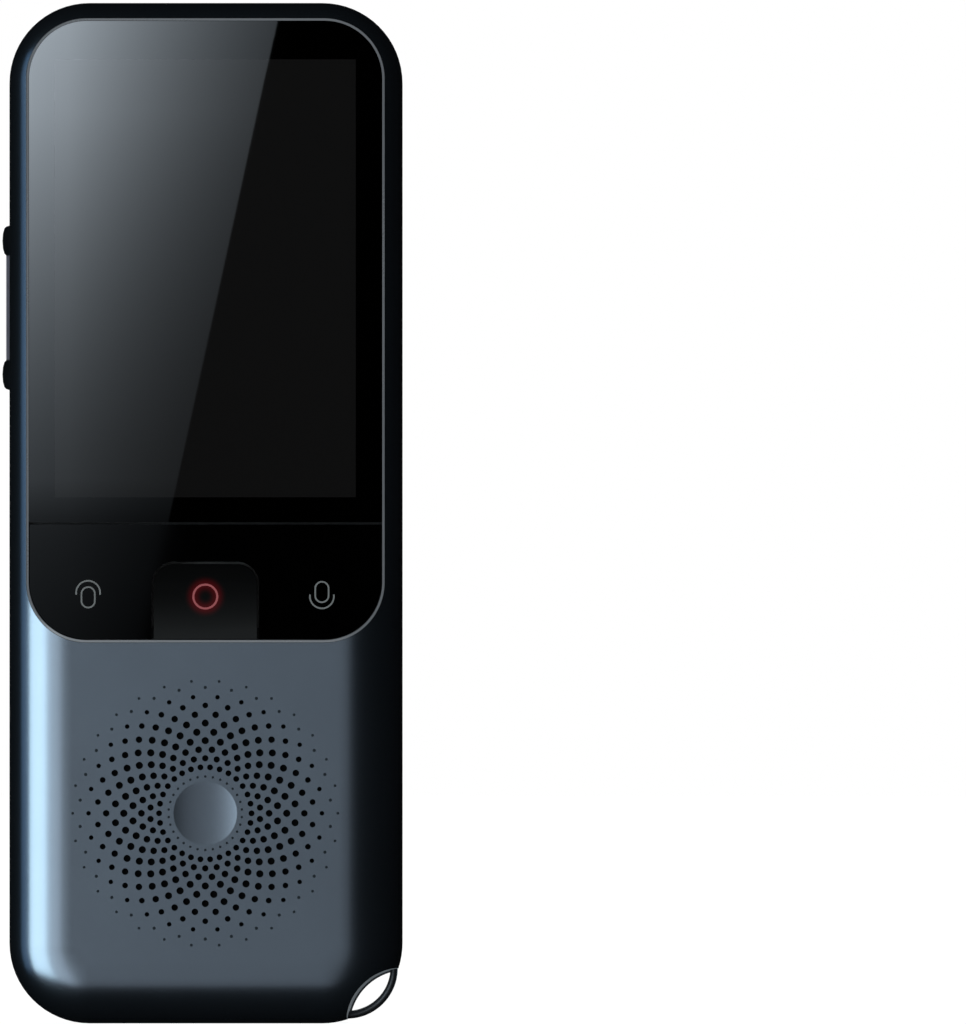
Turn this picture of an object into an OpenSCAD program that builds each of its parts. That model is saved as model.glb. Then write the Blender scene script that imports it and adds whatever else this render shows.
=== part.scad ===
// Handheld translator: a pocket device with a display, talk keys, a speaker behind a
// ring grille, a camera on the back and a bar for a wrist strap across one corner.
// It stands on its bottom end. X is its width, Y its depth with the front at -Y, and
// Z its height. The origin is the middle of the bottom end.

/* [Body] */
// Width of the housing
body_w = 52; // [49:0.5:60]
// Height of the housing
body_h = 135; // [131:0.5:150]
// Thickness of the housing
body_t = 14; // [13.6:0.1:17]
// Depth from the front face back to the parting line
front_depth = 6.2; // [6:0.1:7]
// Radius of the four outline corners
corner_r = 10.6; // [9.6:0.1:12]
// Width of the rounded shoulder round the front face
shoulder_front = 8.4; // [7.6:0.1:9]
// Width of the rounded shoulder round the back face
shoulder_back = 9; // [8:0.1:9.4]
// Fullness of the shoulders: 2 is an ellipse, more is squarer
shoulder_power = 2.3; // [2:0.05:3]
// Half width of the flat band along the parting line
land = 1.3; // [1:0.05:1.4]
// Wall of both shells
wall = 1.5; // [1.3:0.05:1.6]
// How far the front shell's lip reaches into the rear shell
lip_h = 0.45; // [0.3:0.05:0.5]
// Height of the ribs inside the rear shell
rib_h = 2; // [1:0.1:3]

/* [Front panel] */
// Distance from the side of the body to the panel
panel_side = 2.3; // [2:0.1:2.8]
// Height of the panel's foot above the bottom end
panel_foot = 50.4; // [49:0.1:54]
// Corner radius of the front panel
panel_r = 8; // [7:0.1:9]
// Distance from the top end to the panel
panel_top = 2.1; // [1.9:0.1:2.6]
// Width of the bright trim ring
rim_w = 0.35; // [0.3:0.05:0.5]
// Thickness of the front lens at its middle
lens_t = 2.1; // [2:0.05:2.2]
// Thickness of the ledge that carries the lens
ledge_t = 1.2; // [1:0.05:1.3]

/* [Display] */
// Margin of the panel beside the display module
display_side = 2.8; // [2.7:0.1:4]
// Margin of the panel above the display module
display_top = 4; // [3.8:0.1:6]
// Thickness of the display glass
display_t = 1.4; // [1.2:0.05:1.6]

/* [Keys] */
// Height of the key zone at the foot of the panel
key_zone_h = 15.75; // [15:0.05:16]
// Width of the centre key
centre_key_w = 13.6; // [12:0.1:15]
// Height of the centre key
centre_key_h = 9.9; // [9:0.1:10.4]
// Depth of the thumb hollow in the centre key
centre_key_dish = 0.25; // [0.1:0.05:0.4]
// Radius of the centre key's two top corners
centre_key_r = 2.6; // [2:0.1:3]
// Depth of the room under the keys
key_drop = 0.6; // [0.5:0.05:0.7]
// How far the keys travel
key_travel = 0.28; // [0.2:0.01:0.3]
// Distance of the talk domes from the middle
talk_dome_x = 14; // [12:0.1:16]
// Radius of a key dome
dome_r = 2; // [1.5:0.1:2.4]
// Height of a key dome
dome_h = 0.4; // [0.3:0.05:0.5]

/* [Grille and speaker] */
// Height of the grille's centre above the bottom end
grille_z = 27.9; // [27:0.1:29]
// Radius of the dimple in the middle of the grille
dimple_r = 4.2; // [3.5:0.1:4.6]
// Depth of that dimple
dimple_depth = 0.5; // [0.3:0.05:0.7]
// Radius of the first ring of holes
ring_first_r = 6.1; // [5.8:0.1:6.4]
// Radius of the last ring of holes
ring_last_r = 15.4; // [14:0.1:16]
// Number of rings of holes
ring_count = 9; // [5:1:9]
// Number of holes in each ring
ring_holes = 30; // [18:1:30]
// Diameter of the widest holes, in the middle rings
hole_d = 0.96; // [0.7:0.02:1]
// How much narrower the holes of the first ring are
hole_less_first = 0.18; // [0:0.02:0.2]
// How much narrower the holes of the last ring are
hole_less_last = 0.36; // [0:0.02:0.4]
// Radius of the speaker
speaker_r = 17; // [16.6:0.1:17.4]
// Radius of the speaker cone
cone_r = 14.2; // [13.6:0.1:14.3]
// Radius of the voice coil
coil_r = 5.25; // [4.8:0.05:5.4]
// Radius of the magnet
magnet_r = 8.5; // [8:0.1:10]
// How far the cone moves each way
cone_travel = 0.25; // [0.1:0.01:0.3]

/* [Camera] */
// Length of the camera window
window_l = 31; // [29:0.1:32]
// Width of the camera window
window_w = 11.1; // [10.5:0.1:11.6]
// Distance from the top end to the middle of the window
window_down = 14; // [13.8:0.1:14.6]
// How far the camera island stands out of the back
island_rise = 0.9; // [0.7:0.05:1.1]
// Width of the island's soft flank
island_flank = 1.4; // [1:0.1:1.5]
// Flat margin of the island round the window
island_margin = 0.3; // [0.2:0.05:0.4]
// Thickness of the camera window
window_t = 1.1; // [0.9:0.05:1.2]
// Distance of the camera from the middle
camera_x = 8.7; // [8:0.1:9.4]
// Distance of the flash from the middle
flash_x = 2.3; // [1.6:0.1:2.6]
// Side of the square flash lens
flash_w = 3.7; // [3:0.1:3.8]
// Radius of the camera barrel
barrel_r = 2.9; // [2.6:0.05:3.1]

/* [Side keys] */
// Depth of the side keys from the middle of the thickness
side_y = 1; // [0.9:0.05:1.3]
// Distance from the top end to the middle of the volume key
volume_down = 40.3; // [38:0.1:42]
// Length of the volume key
volume_l = 22.1; // [20:0.1:23]
// Width of the volume key
volume_w = 2.1; // [1.8:0.1:2.2]
// How far the volume key stands out
volume_out = 0.5; // [0.4:0.05:0.7]
// Extra height of the volume key's two bumps
bump_out = 0.5; // [0.3:0.05:0.5]
// Distance from the top end to the middle of the power button
power_down = 18.9; // [18:0.1:20]
// Radius of the power button
power_r = 1.25; // [1:0.05:1.3]
// Depth of the scoop round the power button
scoop_depth = 0.45; // [0.3:0.05:0.5]
// Radius of that scoop's ball
scoop_ball = 5.6; // [5:0.1:7]
// How far the side keys travel
side_travel = 0.28; // [0.2:0.01:0.3]

/* [Charging port] */
// Width of the socket's metal shell
usb_w = 8.94; // [8.8:0.02:9.1]
// Height of the socket's metal shell
usb_t = 3.2; // [3.1:0.02:3.3]
// Length of the socket
usb_l = 7.3; // [6.8:0.1:7.4]
// Sheet thickness of the socket
usb_sheet = 0.3; // [0.2:0.05:0.35]

/* [Strap bar] */
// Radius of the bar's curve
bar_r = 6.2; // [6:0.1:6.6]
// Thickness of the bar
bar_t = 1; // [0.8:0.05:1.2]
// Width of the bar
bar_w = 3; // [2.4:0.1:3.4]
// How far the bar stands out of the corner
bar_out = 0.75; // [0.6:0.05:0.8]
// Free width between the bar and the body
bar_gap = 2.4; // [2:0.1:2.6]
// Radius of the cut corner
cut_r = 7.7; // [7.4:0.1:8.2]
// How much wider the cut is at the front and back than at the parting line
cut_draft = 0.5; // [0.2:0.05:0.8]
// Sweep of the bar
bar_sweep = 112; // [108:1:116]

/* [Inside] */
// Thickness of the chassis plate
frame_t = 0.8; // [0.6:0.05:0.9]
// Distance of the chassis plate from the parting line
frame_back = 0.8; // [0.7:0.05:0.9]
// Thickness of the circuit boards
board_t = 0.8; // [0.6:0.05:0.9]
// Height of the main board's stand-offs
standoff = 0.8; // [0.6:0.05:1]
// Height of the main board
board_h = 32; // [30:0.1:33]
// Distance from the side of the body to the main board
board_side = 5.4; // [5.3:0.1:7]
// Distance from the side of the body to the battery
battery_side = 7.4; // [7.2:0.1:9]
// Width of the charging board
usb_board_w = 26; // [24:0.1:28]
// Thickness of the battery
battery_t = 5.5; // [4:0.1:5.6]
// Radius of the screw bosses
boss_r = 1.9; // [1.7:0.05:2]

/* [Fits] */
// Clearance between trim, lens and shell
fit = 0.05; // [0.04:0.01:0.1]
// Clearance round the front keys
key_gap = 0.15; // [0.12:0.01:0.2]
// Clearance where soft or loose pieces lie near others
soft_gap = 0.3; // [0.25:0.01:0.35]

/* [Hidden] */
$fn = 64;

reach = 20;              // how far a cut runs past what it cuts
outer_steps = 14;        // facets of an outer shoulder
inner_steps = 6;         // facets of an inner shoulder

y_front = -body_t / 2;
y_back = body_t / 2;
y_split = y_front + front_depth;
in_front = y_front + wall;
in_back = y_back - wall;
in_x = body_w / 2 - wall;

// Lip along the parting line, and the beads that snap it in
lip_in = wall / 2;
bead_r = 0.2;
bead_l = 5;
bead_y = y_split + lip_h / 2;

// Front panel, from the top end down
panel_w = body_w - 2 * panel_side;
panel_z1 = body_h - panel_top;
panel_z0 = panel_foot;
panel_h = panel_z1 - panel_z0;
seam_z = panel_z0 + key_zone_h;
seam_gap = 0.3;
lens_back = y_front + lens_t;
key_floor = lens_back + key_drop;
ledge_back = key_floor + ledge_t;
ledge_w = 1.6;
ledge_out = 1.2;
bar_below = 1.25;
bar_above = 1.05;
display_corner = 0.4;
display_w = panel_w - 2 * display_side;
display_z0 = seam_z + bar_above + 0.4;
display_h = panel_z1 - display_top - display_z0;
window_z0 = display_z0 - 0.2;
window_z1 = display_z0 + display_h + 0.2;

// Chassis plate and boards
frame_y1 = y_split - frame_back;
frame_y0 = frame_y1 - frame_t;
backlight_y0 = lens_back + display_t;
backlight_y1 = frame_y0 - 0.1;
frame_inset = wall + soft_gap;
board_y0 = frame_y1 + standoff;
board_y1 = board_y0 + board_t;
board_w = body_w - 2 * board_side;
board_z1 = body_h - wall - 3.4;
board_z0 = board_z1 - board_h;
key_board_w = panel_w - 9.4;
key_board_y0 = frame_y0 - board_t;
dome_top = key_board_y0 - dome_h;
plunger_gap = key_travel + 0.05;
plunger_r = 1;

// Keys at the foot of the panel
key_back = lens_back;
key_edge = rim_w + key_gap;
key_z0 = panel_z0 + key_edge;
key_z1 = seam_z - seam_gap / 2;
dome_z = key_z0 + 4.6;
rib_w = 0.8;
rib_tip = key_board_y0 - fit - rib_w / 2;   // middle of the rib's round tip
rib_z0 = key_z0 + centre_key_h + 2 * key_gap + 0.6;
rib_z1 = key_z1 - bar_below - 0.3;

// Battery bay, between the speaker and the main board
battery_w = body_w - 2 * battery_side;
battery_z1 = board_z0 - 1.6;
battery_z0 = grille_z + speaker_r + 2 * soft_gap;
battery_h = battery_z1 - battery_z0;
tape_t = 0.15;
battery_y0 = frame_y1 + tape_t;
battery_y1 = battery_y0 + battery_t;
tape_w = battery_w * 0.32;
tape_h = battery_h * 0.84;
pad_t = in_back - soft_gap - battery_y1;
plug_x = -battery_w / 2 + 6.1;
plug_w = 4;
lead_pitch = 1.4;
lead_r = 0.4;
pad_w = battery_w * 0.68;
pad_h = battery_h * 0.12;

// Screws: half width and height of each pair on the chassis, and of the board's
screw_r = 0.6;
screw_hole_r = 0.75;
screw_head_r = 1.35;
screw_head_t = 0.7;
screw_bite = 1.5;
small_boss_r = 1.35;
frame_screw_at = [[12, panel_z1 - 1.7], [body_w / 2 - 5.6, seam_z - 0.1],
    [body_w / 2 - 5.4, panel_z0 - 4], [usb_board_w / 2 + 1.6, 8.6]];
frame_boss_r = [small_boss_r, small_boss_r, boss_r, boss_r];
board_screw_at = [[-board_w / 2 + 2, board_z0 + 2], [board_w / 2 - 2, board_z0 + 2],
    [-board_w / 2 + 4.6, board_z1 - 2.4], [board_w / 2 - 4.6, board_z1 - 2.4]];

// Cans and chips: middle and size as shares of the board, then the height
can_list = [[-0.255, 0.44, 0.34, 0.375, 1.5], [0.23, 0.256, 0.315, 0.28, 1.5]];
chip_list = [[-0.22, 0.84, 0.17, 0.19, 1], [-0.39, 0.75, 0.1, 0.095, 0.8],
    [0.4, 0.59, 0.1, 0.155, 0.9]];
microphone_list = [[0, 0.9375, 0.073, 0.07, 1]];
antenna_list = [[-0.036, 0.85, 0.12, 0.05, 0.4]];

// Speaker, from the grille back
mesh_t = 0.2;
gasket_t = cone_travel + 0.35;
surround_t = 0.2;
seat_wall = 1.2;
seat_r = speaker_r + 0.2;
gasket_y0 = in_front + mesh_t;
surround_y0 = gasket_y0 + gasket_t;
basket_y0 = surround_y0 + surround_t;
basket_in_r = cone_r + 0.7;
basket_body_r = basket_in_r + 0.5;
basket_back = frame_y1 + 0.4;
basket_sheet = 0.6;
gap_in_r = coil_r - 0.55;
gap_out_r = coil_r + 0.65;
coil_wall = 0.5;
magnet_y1 = basket_back + 2.8;
gap_y1 = basket_back + 2.1;
cone_t = 0.3;
cone_y0 = surround_y0 + 0.1;
coil_y0 = cone_y0 + 1.2;
coil_y1 = basket_back + 1.4;
vent_at = (basket_in_r + magnet_r) / 2 + 0.1;
vent_r = 1.6;
terminal_w = 3.2;
terminal_h = 1.6;
terminal_x = -4;
terminal_z = grille_z - basket_in_r + 1.8;
speaker_lead_r = 0.3;

// Camera and flash
window_z = body_h - window_down;
window_y1 = y_back + island_rise;
window_y0 = window_y1 - window_t;
barrel_y1 = window_y0 - 0.35;
camera_w = 8.4;
camera_y1 = board_y1 + 4.2;
camera_hole_r = barrel_r + soft_gap;
lens_ring_r = 2.5;
led_w = 2;
led_t = 0.7;

// Side keys, worked from the outside in
volume_z = body_h - volume_down;
power_z = body_h - power_down;
bump_z = volume_l / 2 - 2.2;
flange_t = 0.6;
volume_flange_l = volume_l + 1.6;
volume_flange_w = volume_w + 1;
power_flange_r = power_r + 0.6;
side_clear = side_travel + 0.07;
flange_x = -in_x + side_clear;
pivot_x = flange_x + flange_t / 2;
pivot_r = 0.55;
switch_t = 1;
switch_w = 3;
switch_l = 3.6;
side_board_t = 0.6;
side_board_more = 1.2;
plunger_l = 0.5;
switch_x = flange_x + flange_t + plunger_l + side_travel + 0.05;
side_board_x = switch_x + switch_t;

// Charging port
usb_board_y0 = frame_y1 + 0.4;
usb_board_y1 = usb_board_y0 + board_t;
usb_y = usb_board_y1 + usb_t / 2;
usb_z0 = 0.4;
usb_gap = 0.1;
usb_board_z0 = wall + 0.4;
usb_board_z1 = grille_z - speaker_r - seat_wall - 0.2;
usb_tab_x = usb_board_w / 2 - 3.6;
link_t = 0.2;
link_w = 1.6;
link_x = body_w / 2 - frame_inset - 0.4;
link_z = corner_r + 0.6;
mic_x = 10.5;
mic_w = 3;
mic_t = 1;
mic_hole_r = 0.5;

// Strap corner: everything lies on the diagonal through the corner's centre
corner_x = body_w / 2 - corner_r;
bar_off = corner_r + bar_out - bar_t / 2 - bar_r;
cut_off = corner_r + bar_out - bar_t - bar_gap + cut_r;
boss_cut_r = cut_r + 2.9;

// ---------- shared shapes ----------

// A slab between two depths, drawn in width and height
module slab(y0, y1) translate([0, y1, 0]) rotate([90, 0, 0]) linear_extrude(y1 - y0) children();

module rounded_rect(w, h, r) {
    square([w - 2 * r, h], center = true);
    square([w, h - 2 * r], center = true);
    for (sx = [-1, 1], sy = [-1, 1])
        translate([sx * (w / 2 - r), sy * (h / 2 - r)]) circle(r);
}

module box_between(x0, x1, y0, y1, z0, z1)
    translate([x0, y0, z0]) cube([x1 - x0, y1 - y0, z1 - z0]);

// A round pin along the depth
module pin(x, z, r, y0, y1) translate([x, y0, z]) rotate([-90, 0, 0]) cylinder(r = r, h = y1 - y0);

// Half section of the housing: radius from a corner's centre against depth.
// side is -1 for the front half and 1 for the back half.
function half_section(inset, side, steps, past) =
    let (
        rc = corner_r - inset,
        a = (side < 0 ? shoulder_front : shoulder_back) - inset,
        b = (side < 0 ? front_depth : body_t - front_depth) - land - inset,
        y0 = y_split + side * land
    )
    concat(
        [[0, y_split - side * past], [rc, y_split - side * past]],
        [for (i = [0:steps]) let (t = 90 * i / steps)
            [rc - a + a * pow(cos(t), 2 / shoulder_power),
             y0 + side * b * pow(sin(t), 2 / shoulder_power)]],
        [[0, y0 + side * b]]
    );

// Half of the pillow-shaped housing, shrunk all round by inset
module half_pillow(inset, side, steps = outer_steps, past = 0) {
    section = half_section(inset, side, steps, past);
    rc = corner_r - inset;
    half_x = body_w / 2 - corner_r;
    side_h = body_h - 2 * corner_r;
    rotate([0, -90, 0]) linear_extrude(2 * half_x, center = true) {
        translate([corner_r, 0]) mirror([1, 0]) polygon(section);
        translate([corner_r + side_h, 0]) polygon(section);
        translate([corner_r, min([for (p = section) p[1]])])
            square([side_h, max([for (p = section) p[1]]) - min([for (p = section) p[1]])]);
    }
    for (m = [0, 1]) mirror([m, 0, 0])
        translate([half_x, 0, corner_r]) linear_extrude(side_h) polygon(section);
    for (k = [0:3])
        translate([(k == 0 || k == 3 ? 1 : -1) * half_x, 0, k < 2 ? corner_r : body_h - corner_r])
            rotate([0, 90 * k, 0]) rotate([-90, 0, 0]) rotate_extrude(angle = 90) polygon(section);
}

module panel_outline(inset = 0)
    translate([0, (panel_z0 + panel_z1) / 2])
        rounded_rect(panel_w - 2 * inset, panel_h - 2 * inset, panel_r - inset);

module window_outline(inset = 0)
    translate([0, window_z]) {
        square([window_l - window_w, window_w - 2 * inset], center = true);
        for (s = [-1, 1]) translate([s * (window_l - window_w) / 2, 0]) circle(window_w / 2 - inset);
    }

// Places children at the strap corner, at a distance out along its diagonal
module on_diagonal(off)
    translate([corner_x + off / sqrt(2), 0, corner_r - off / sqrt(2)]) children();

// Curved bar with round edges, grown all round by more
module bar_shape(more = 0, extra = 0)
    on_diagonal(bar_off) translate([0, y_split, 0]) rotate([-90, 0, 0])
        rotate([0, 0, 45 - bar_sweep / 2 - extra]) rotate_extrude(angle = bar_sweep + 2 * extra)
            translate([bar_r, 0]) {
                square([bar_t + 2 * more, bar_w - bar_t], center = true);
                for (s = [-1, 1]) translate([0, s * (bar_w - bar_t) / 2]) circle(bar_t / 2 + more);
            }

module corner_cut(r) on_diagonal(cut_off) rotate([90, 0, 0]) cylinder(r = r, h = 2 * reach, center = true);

// The same cut with a draft from the parting line to both faces
module drafted_cut()
    on_diagonal(cut_off) for (side = [-1, 1])
        translate([0, y_split - side * 0.01, 0]) rotate([-90 * side, 0, 0])
            cylinder(r1 = cut_r, r2 = cut_r + cut_draft * reach / front_depth, h = reach);

module outline(inset) translate([0, body_h / 2])
    rounded_rect(body_w - 2 * inset, body_h - 2 * inset, corner_r - inset);

// Beads along the lip, clear of the side keys
module beads(r)
    for (s = [-1, 1], z = [grille_z, panel_z0 + 8, volume_z - volume_l / 2 - 6, power_z + 5])
        translate([s * (body_w / 2 - lip_in - fit), bead_y, z])
            cylinder(r = r, h = bead_l, center = true);

module usb_mouth() slab_z(-1, wall + 1) translate([0, usb_y])
    stadium(usb_w + 2 * usb_gap, usb_t + 2 * usb_gap);

// A hollow half of the housing, with the solid corner that holds the strap bar
module hollow_half(side) {
    difference() {
        half_pillow(0, side);
        difference() {
            half_pillow(wall, side, inner_steps, 1);
            corner_cut(boss_cut_r);
        }
        drafted_cut();
        bar_shape(fit, 1);
    }
}

// ---------- housing ----------

function hole_size(i) =
    let (f = i / (ring_count - 1), low = max(0, 0.4 - f) / 0.4, high = max(0, f - 0.5) / 0.5)
    hole_d - hole_less_first * low - hole_less_last * high * high;

module grille_holes()
    for (i = [0:ring_count - 1])
        let (r = ring_first_r + (ring_last_r - ring_first_r) * i / (ring_count - 1))
            for (k = [0:ring_holes - 1])
                let (a = 360 * (k + (i % 2) / 2) / ring_holes)
                    pin(r * cos(a), grille_z + r * sin(a), hole_size(i) / 2,
                        y_front - 1, in_front + 0.5);

module dimple() {
    ball = (dimple_r * dimple_r + dimple_depth * dimple_depth) / (2 * dimple_depth);
    translate([0, y_front + dimple_depth - ball, grille_z]) rotate([90, 0, 0]) sphere(ball);
}

module front_shell() color([0.30, 0.34, 0.39]) difference() {
    union() {
        hollow_half(-1);
        intersection() {
            slab(lens_back, ledge_back) panel_outline(-ledge_out);
            half_pillow(0, -1);
        }
        difference() {
            pin(0, grille_z, seat_r + seat_wall, in_front, frame_y0);
            pin(0, grille_z, seat_r, in_front - 1, frame_y0 + 1);
        }
        difference() {
            union() {
                slab(y_split - land / 2, y_split + lip_h) outline(lip_in + fit);
                beads(bead_r);
            }
            slab(-reach, reach) outline(wall - fit);
            corner_cut(boss_cut_r);
            usb_mouth();
        }
        for (i = [0:3], s = [-1, 1])
            pin(s * frame_screw_at[i][0], frame_screw_at[i][1], frame_boss_r[i],
                i < 2 ? ledge_back - 0.2 : in_front - 0.2, frame_y0);
    }
    slab(-reach, lens_back) panel_outline();
    slab(lens_back - 1, key_floor) intersection() {
        panel_outline(rim_w);
        translate([-reach * 2, panel_z0 - 1]) square([reach * 4, key_zone_h + 1]);
    }
    slab(lens_back - 1, ledge_back + 1) {
        translate([0, (window_z0 + window_z1) / 2])
            rounded_rect(display_w + 0.4, window_z1 - window_z0, display_corner);
        key_window();
    }
    grille_holes();
    dimple();
    for (i = [0:3], s = [-1, 1])
        pin(s * frame_screw_at[i][0], frame_screw_at[i][1], screw_r,
            frame_y0 - screw_bite - 0.2, frame_y0 + 1);
}

module key_window() {
    z0 = panel_z0 + rim_w + ledge_w;
    z1 = seam_z - bar_below;
    w = panel_w - 2 * (rim_w + ledge_w);
    translate([0, (z0 + z1) / 2]) rounded_rect(w, z1 - z0, 3);
}

// Flank of the camera island, as a smooth step from its base to its top
function island_section(r_top) = concat(
    [[0, in_back + 0.5], [r_top + island_flank, in_back + 0.5]],
    [for (i = [0:8]) [r_top + island_flank * (1 - i / 8),
        y_back - 0.3 + (island_rise + 0.3) * (1 - cos(180 * i / 8)) / 2]],
    [[0, window_y1]]
);

module camera_island() {
    section = island_section(window_w / 2 + island_margin);
    half_l = (window_l - window_w) / 2;
    for (s = [0, 1]) mirror([s, 0, 0]) translate([half_l, 0, window_z])
        rotate([-90, 0, 0]) rotate([0, 0, -90]) rotate_extrude(angle = 180) polygon(section);
    translate([0, 0, window_z]) for (s = [0, 1]) mirror([0, 0, s])
        rotate([0, -90, 0]) linear_extrude(2 * half_l, center = true) polygon(section);
}

module volume_slot(more) {
    z0 = volume_z - volume_l / 2 - more;
    w = volume_w + 2 * more;
    box_between(-body_w / 2 - 3, -in_x + 1.5, side_y - w / 2, side_y + w / 2, z0, z0 + volume_l + 2 * more);
}

// Flat seats inside the wall for the flanges of the side keys
module flange_relief(z0, z1, w)
    box_between(-in_x, -in_x + 3, side_y - w / 2 - soft_gap, side_y + w / 2 + soft_gap,
        z0 - soft_gap, z1 + soft_gap);

// Grid of ribs behind the speaker, on the flat of the back
module rear_ribs() {
    half_w = body_w / 2 - shoulder_back;
    for (x = [-0.6, 0, 0.6])
        box_between(x * half_w - rib_w / 2, x * half_w + rib_w / 2, in_back - rib_h, in_back + 0.2,
            shoulder_back, battery_z0 - 2);
    for (z = [shoulder_back + 6, grille_z, battery_z0 - 5])
        box_between(-half_w, half_w, in_back - rib_h, in_back + 0.2, z - rib_w / 2, z + rib_w / 2);
}

module rear_shell() color([0.33, 0.35, 0.40]) difference() {
    union() {
        hollow_half(1);
        camera_island();
        rear_ribs();
    }
    difference() {
        union() {
            slab(y_split - 1, y_split + lip_h + fit) outline(lip_in);
            beads(bead_r + fit);
        }
        corner_cut(boss_cut_r);
    }
    flange_relief(volume_z - volume_flange_l / 2, volume_z + volume_flange_l / 2, volume_flange_w);
    flange_relief(power_z - power_flange_r, power_z + power_flange_r, 2 * power_flange_r);
    slab(window_y0, reach) window_outline();
    pin(camera_x, window_z, camera_hole_r, 0, reach);
    slab(0, reach) translate([flash_x, window_z]) square(flash_w + 0.4, center = true);
    volume_slot(key_gap);
    translate([-body_w / 2 + scoop_depth - scoop_ball, side_y, power_z]) sphere(scoop_ball);
    translate([-reach * 2, side_y, power_z]) rotate([0, 90, 0]) cylinder(r = power_r + fit * 2, h = reach);
    usb_mouth();
    translate([-mic_x, usb_y, -1]) cylinder(r = mic_hole_r, h = wall + 2);
}

// A slab between two heights, drawn in width and depth
module slab_z(z0, z1) translate([0, 0, z0]) linear_extrude(z1 - z0) children();

module stadium(w, h) {
    square([w - h, h], center = true);
    for (s = [-1, 1]) translate([s * (w - h) / 2, 0]) circle(h / 2);
}

// ---------- front panel ----------

module panel_rim() color([0.75, 0.77, 0.80]) difference() {
    intersection() {
        slab(-reach, lens_back) panel_outline(fit);
        half_pillow(0, -1);
    }
    slab(-reach, 0) panel_outline(rim_w);
}

module front_lens() color([0.04, 0.04, 0.05]) intersection() {
    slab(-reach, lens_back) intersection() {
        panel_outline(rim_w + fit);
        translate([-reach * 2, seam_z + seam_gap / 2]) square([reach * 4, panel_h]);
    }
    half_pillow(0, -1);
}

module display_panel() color([0.07, 0.07, 0.08])
    box_between(-display_w / 2, display_w / 2, lens_back, backlight_y0,
        display_z0, display_z0 + display_h);

module backlight() color([0.80, 0.81, 0.82])
    box_between(-display_w / 2, display_w / 2, backlight_y0, backlight_y1,
        display_z0, display_z0 + display_h);

module centre_key_outline(more = 0) {
    w = centre_key_w + 2 * more;
    h = centre_key_h + more;
    r = centre_key_r + more;
    translate([-w / 2, key_z0]) square([w, h - r]);
    translate([-w / 2 + r, key_z0]) square([w - 2 * r, h]);
    for (s = [-1, 1]) translate([s * (w / 2 - r), key_z0 + h - r]) circle(r);
}

module talk_rocker() color([0.03, 0.03, 0.04]) {
    intersection() {
        slab(-reach, key_back) difference() {
            intersection() {
                panel_outline(key_edge);
                translate([-reach * 2, key_z0 - 1]) square([reach * 4, key_z1 - key_z0 + 1]);
            }
            centre_key_outline(2 * key_gap);
            translate([-centre_key_w / 2 - 2 * key_gap, key_z0 - 2])
                square([centre_key_w + 4 * key_gap, 4]);
        }
        half_pillow(0, -1);
    }
    for (s = [-1, 1])
        pin(s * talk_dome_x, dome_z, plunger_r, key_back - 0.2, dome_top - plunger_gap);
    box_between(-rib_w / 2, rib_w / 2, key_back - 0.2, rib_tip, rib_z0, rib_z1);
    translate([0, rib_tip, rib_z0]) cylinder(r = rib_w / 2, h = rib_z1 - rib_z0);
}

module centre_key() color([0.08, 0.09, 0.10]) {
    hollow_r = (centre_key_h * centre_key_h / 4 + centre_key_dish * centre_key_dish)
        / (2 * centre_key_dish);
    difference() {
        slab(y_front, key_back) centre_key_outline();
        translate([0, y_front + centre_key_dish - hollow_r, key_z0 + centre_key_h / 2])
            rotate([0, 90, 0]) cylinder(r = hollow_r, h = body_w, center = true, $fn = 360);
    }
    pin(0, dome_z, plunger_r, key_back - 0.2, dome_top - plunger_gap);
}

module key_board() color([0.10, 0.35, 0.18])
    box_between(-key_board_w / 2, key_board_w / 2, key_board_y0, frame_y0,
        key_z0 + ledge_w, seam_z - bar_below - 0.4);

module key_domes() color([0.78, 0.79, 0.80])
    for (x = [-talk_dome_x, 0, talk_dome_x]) pin(x, dome_z, dome_r, dome_top, key_board_y0);

// ---------- chassis and boards ----------

module mid_frame() color([0.62, 0.64, 0.66]) difference() {
    union() {
        slab(frame_y0, frame_y1) outline(frame_inset);
        for (p = board_screw_at) pin(p[0], p[1], boss_r, frame_y1 - 0.2, board_y0);
        for (s = [-1, 1], z = [usb_board_z0 + 1.6, usb_board_z1 - 1.6])
            pin(s * (usb_board_w / 2 - 1.6), z, 1.2, frame_y1 - 0.2, usb_board_y0);
    }
    pin(0, grille_z, basket_body_r + 0.3, -reach, reach);
    corner_cut(boss_cut_r + soft_gap);
    for (i = [0:3], s = [-1, 1])
        pin(s * frame_screw_at[i][0], frame_screw_at[i][1], screw_hole_r, -reach, reach);
    for (p = board_screw_at) pin(p[0], p[1], screw_r, frame_y0 - 1, board_y0 + 1);
    slab(-reach, reach) translate([0, board_z0 - 0.5]) square([12, 1], center = true);
}

module screw(x, z, y_seat, bite) {
    pin(x, z, screw_r, y_seat - bite, y_seat);
    pin(x, z, screw_head_r, y_seat, y_seat + screw_head_t);
}

module frame_screws() color([0.55, 0.56, 0.58])
    for (i = [0:3], s = [-1, 1])
        screw(s * frame_screw_at[i][0], frame_screw_at[i][1], frame_y1, frame_t + screw_bite);

module board_screws() color([0.55, 0.56, 0.58])
    for (p = board_screw_at) screw(p[0], p[1], board_y1, board_t + standoff);

module main_board() color([0.08, 0.36, 0.20]) difference() {
    box_between(-board_w / 2, board_w / 2, board_y0, board_y1, board_z0, board_z1);
    for (s = [-1, 1]) pin(s * frame_screw_at[0][0], frame_screw_at[0][1], boss_r, -reach, reach);
    for (p = board_screw_at) pin(p[0], p[1], screw_hole_r, board_y0 - 1, board_y1 + 1);
}

module can(x, z, w, h, t) box_between(x - w / 2, x + w / 2, board_y1, board_y1 + t, z - h / 2, z + h / 2);

module cans(list)
    for (c = list)
        can(c[0] * board_w, board_z0 + c[1] * board_h, c[2] * board_w, c[3] * board_h, c[4]);

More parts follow.
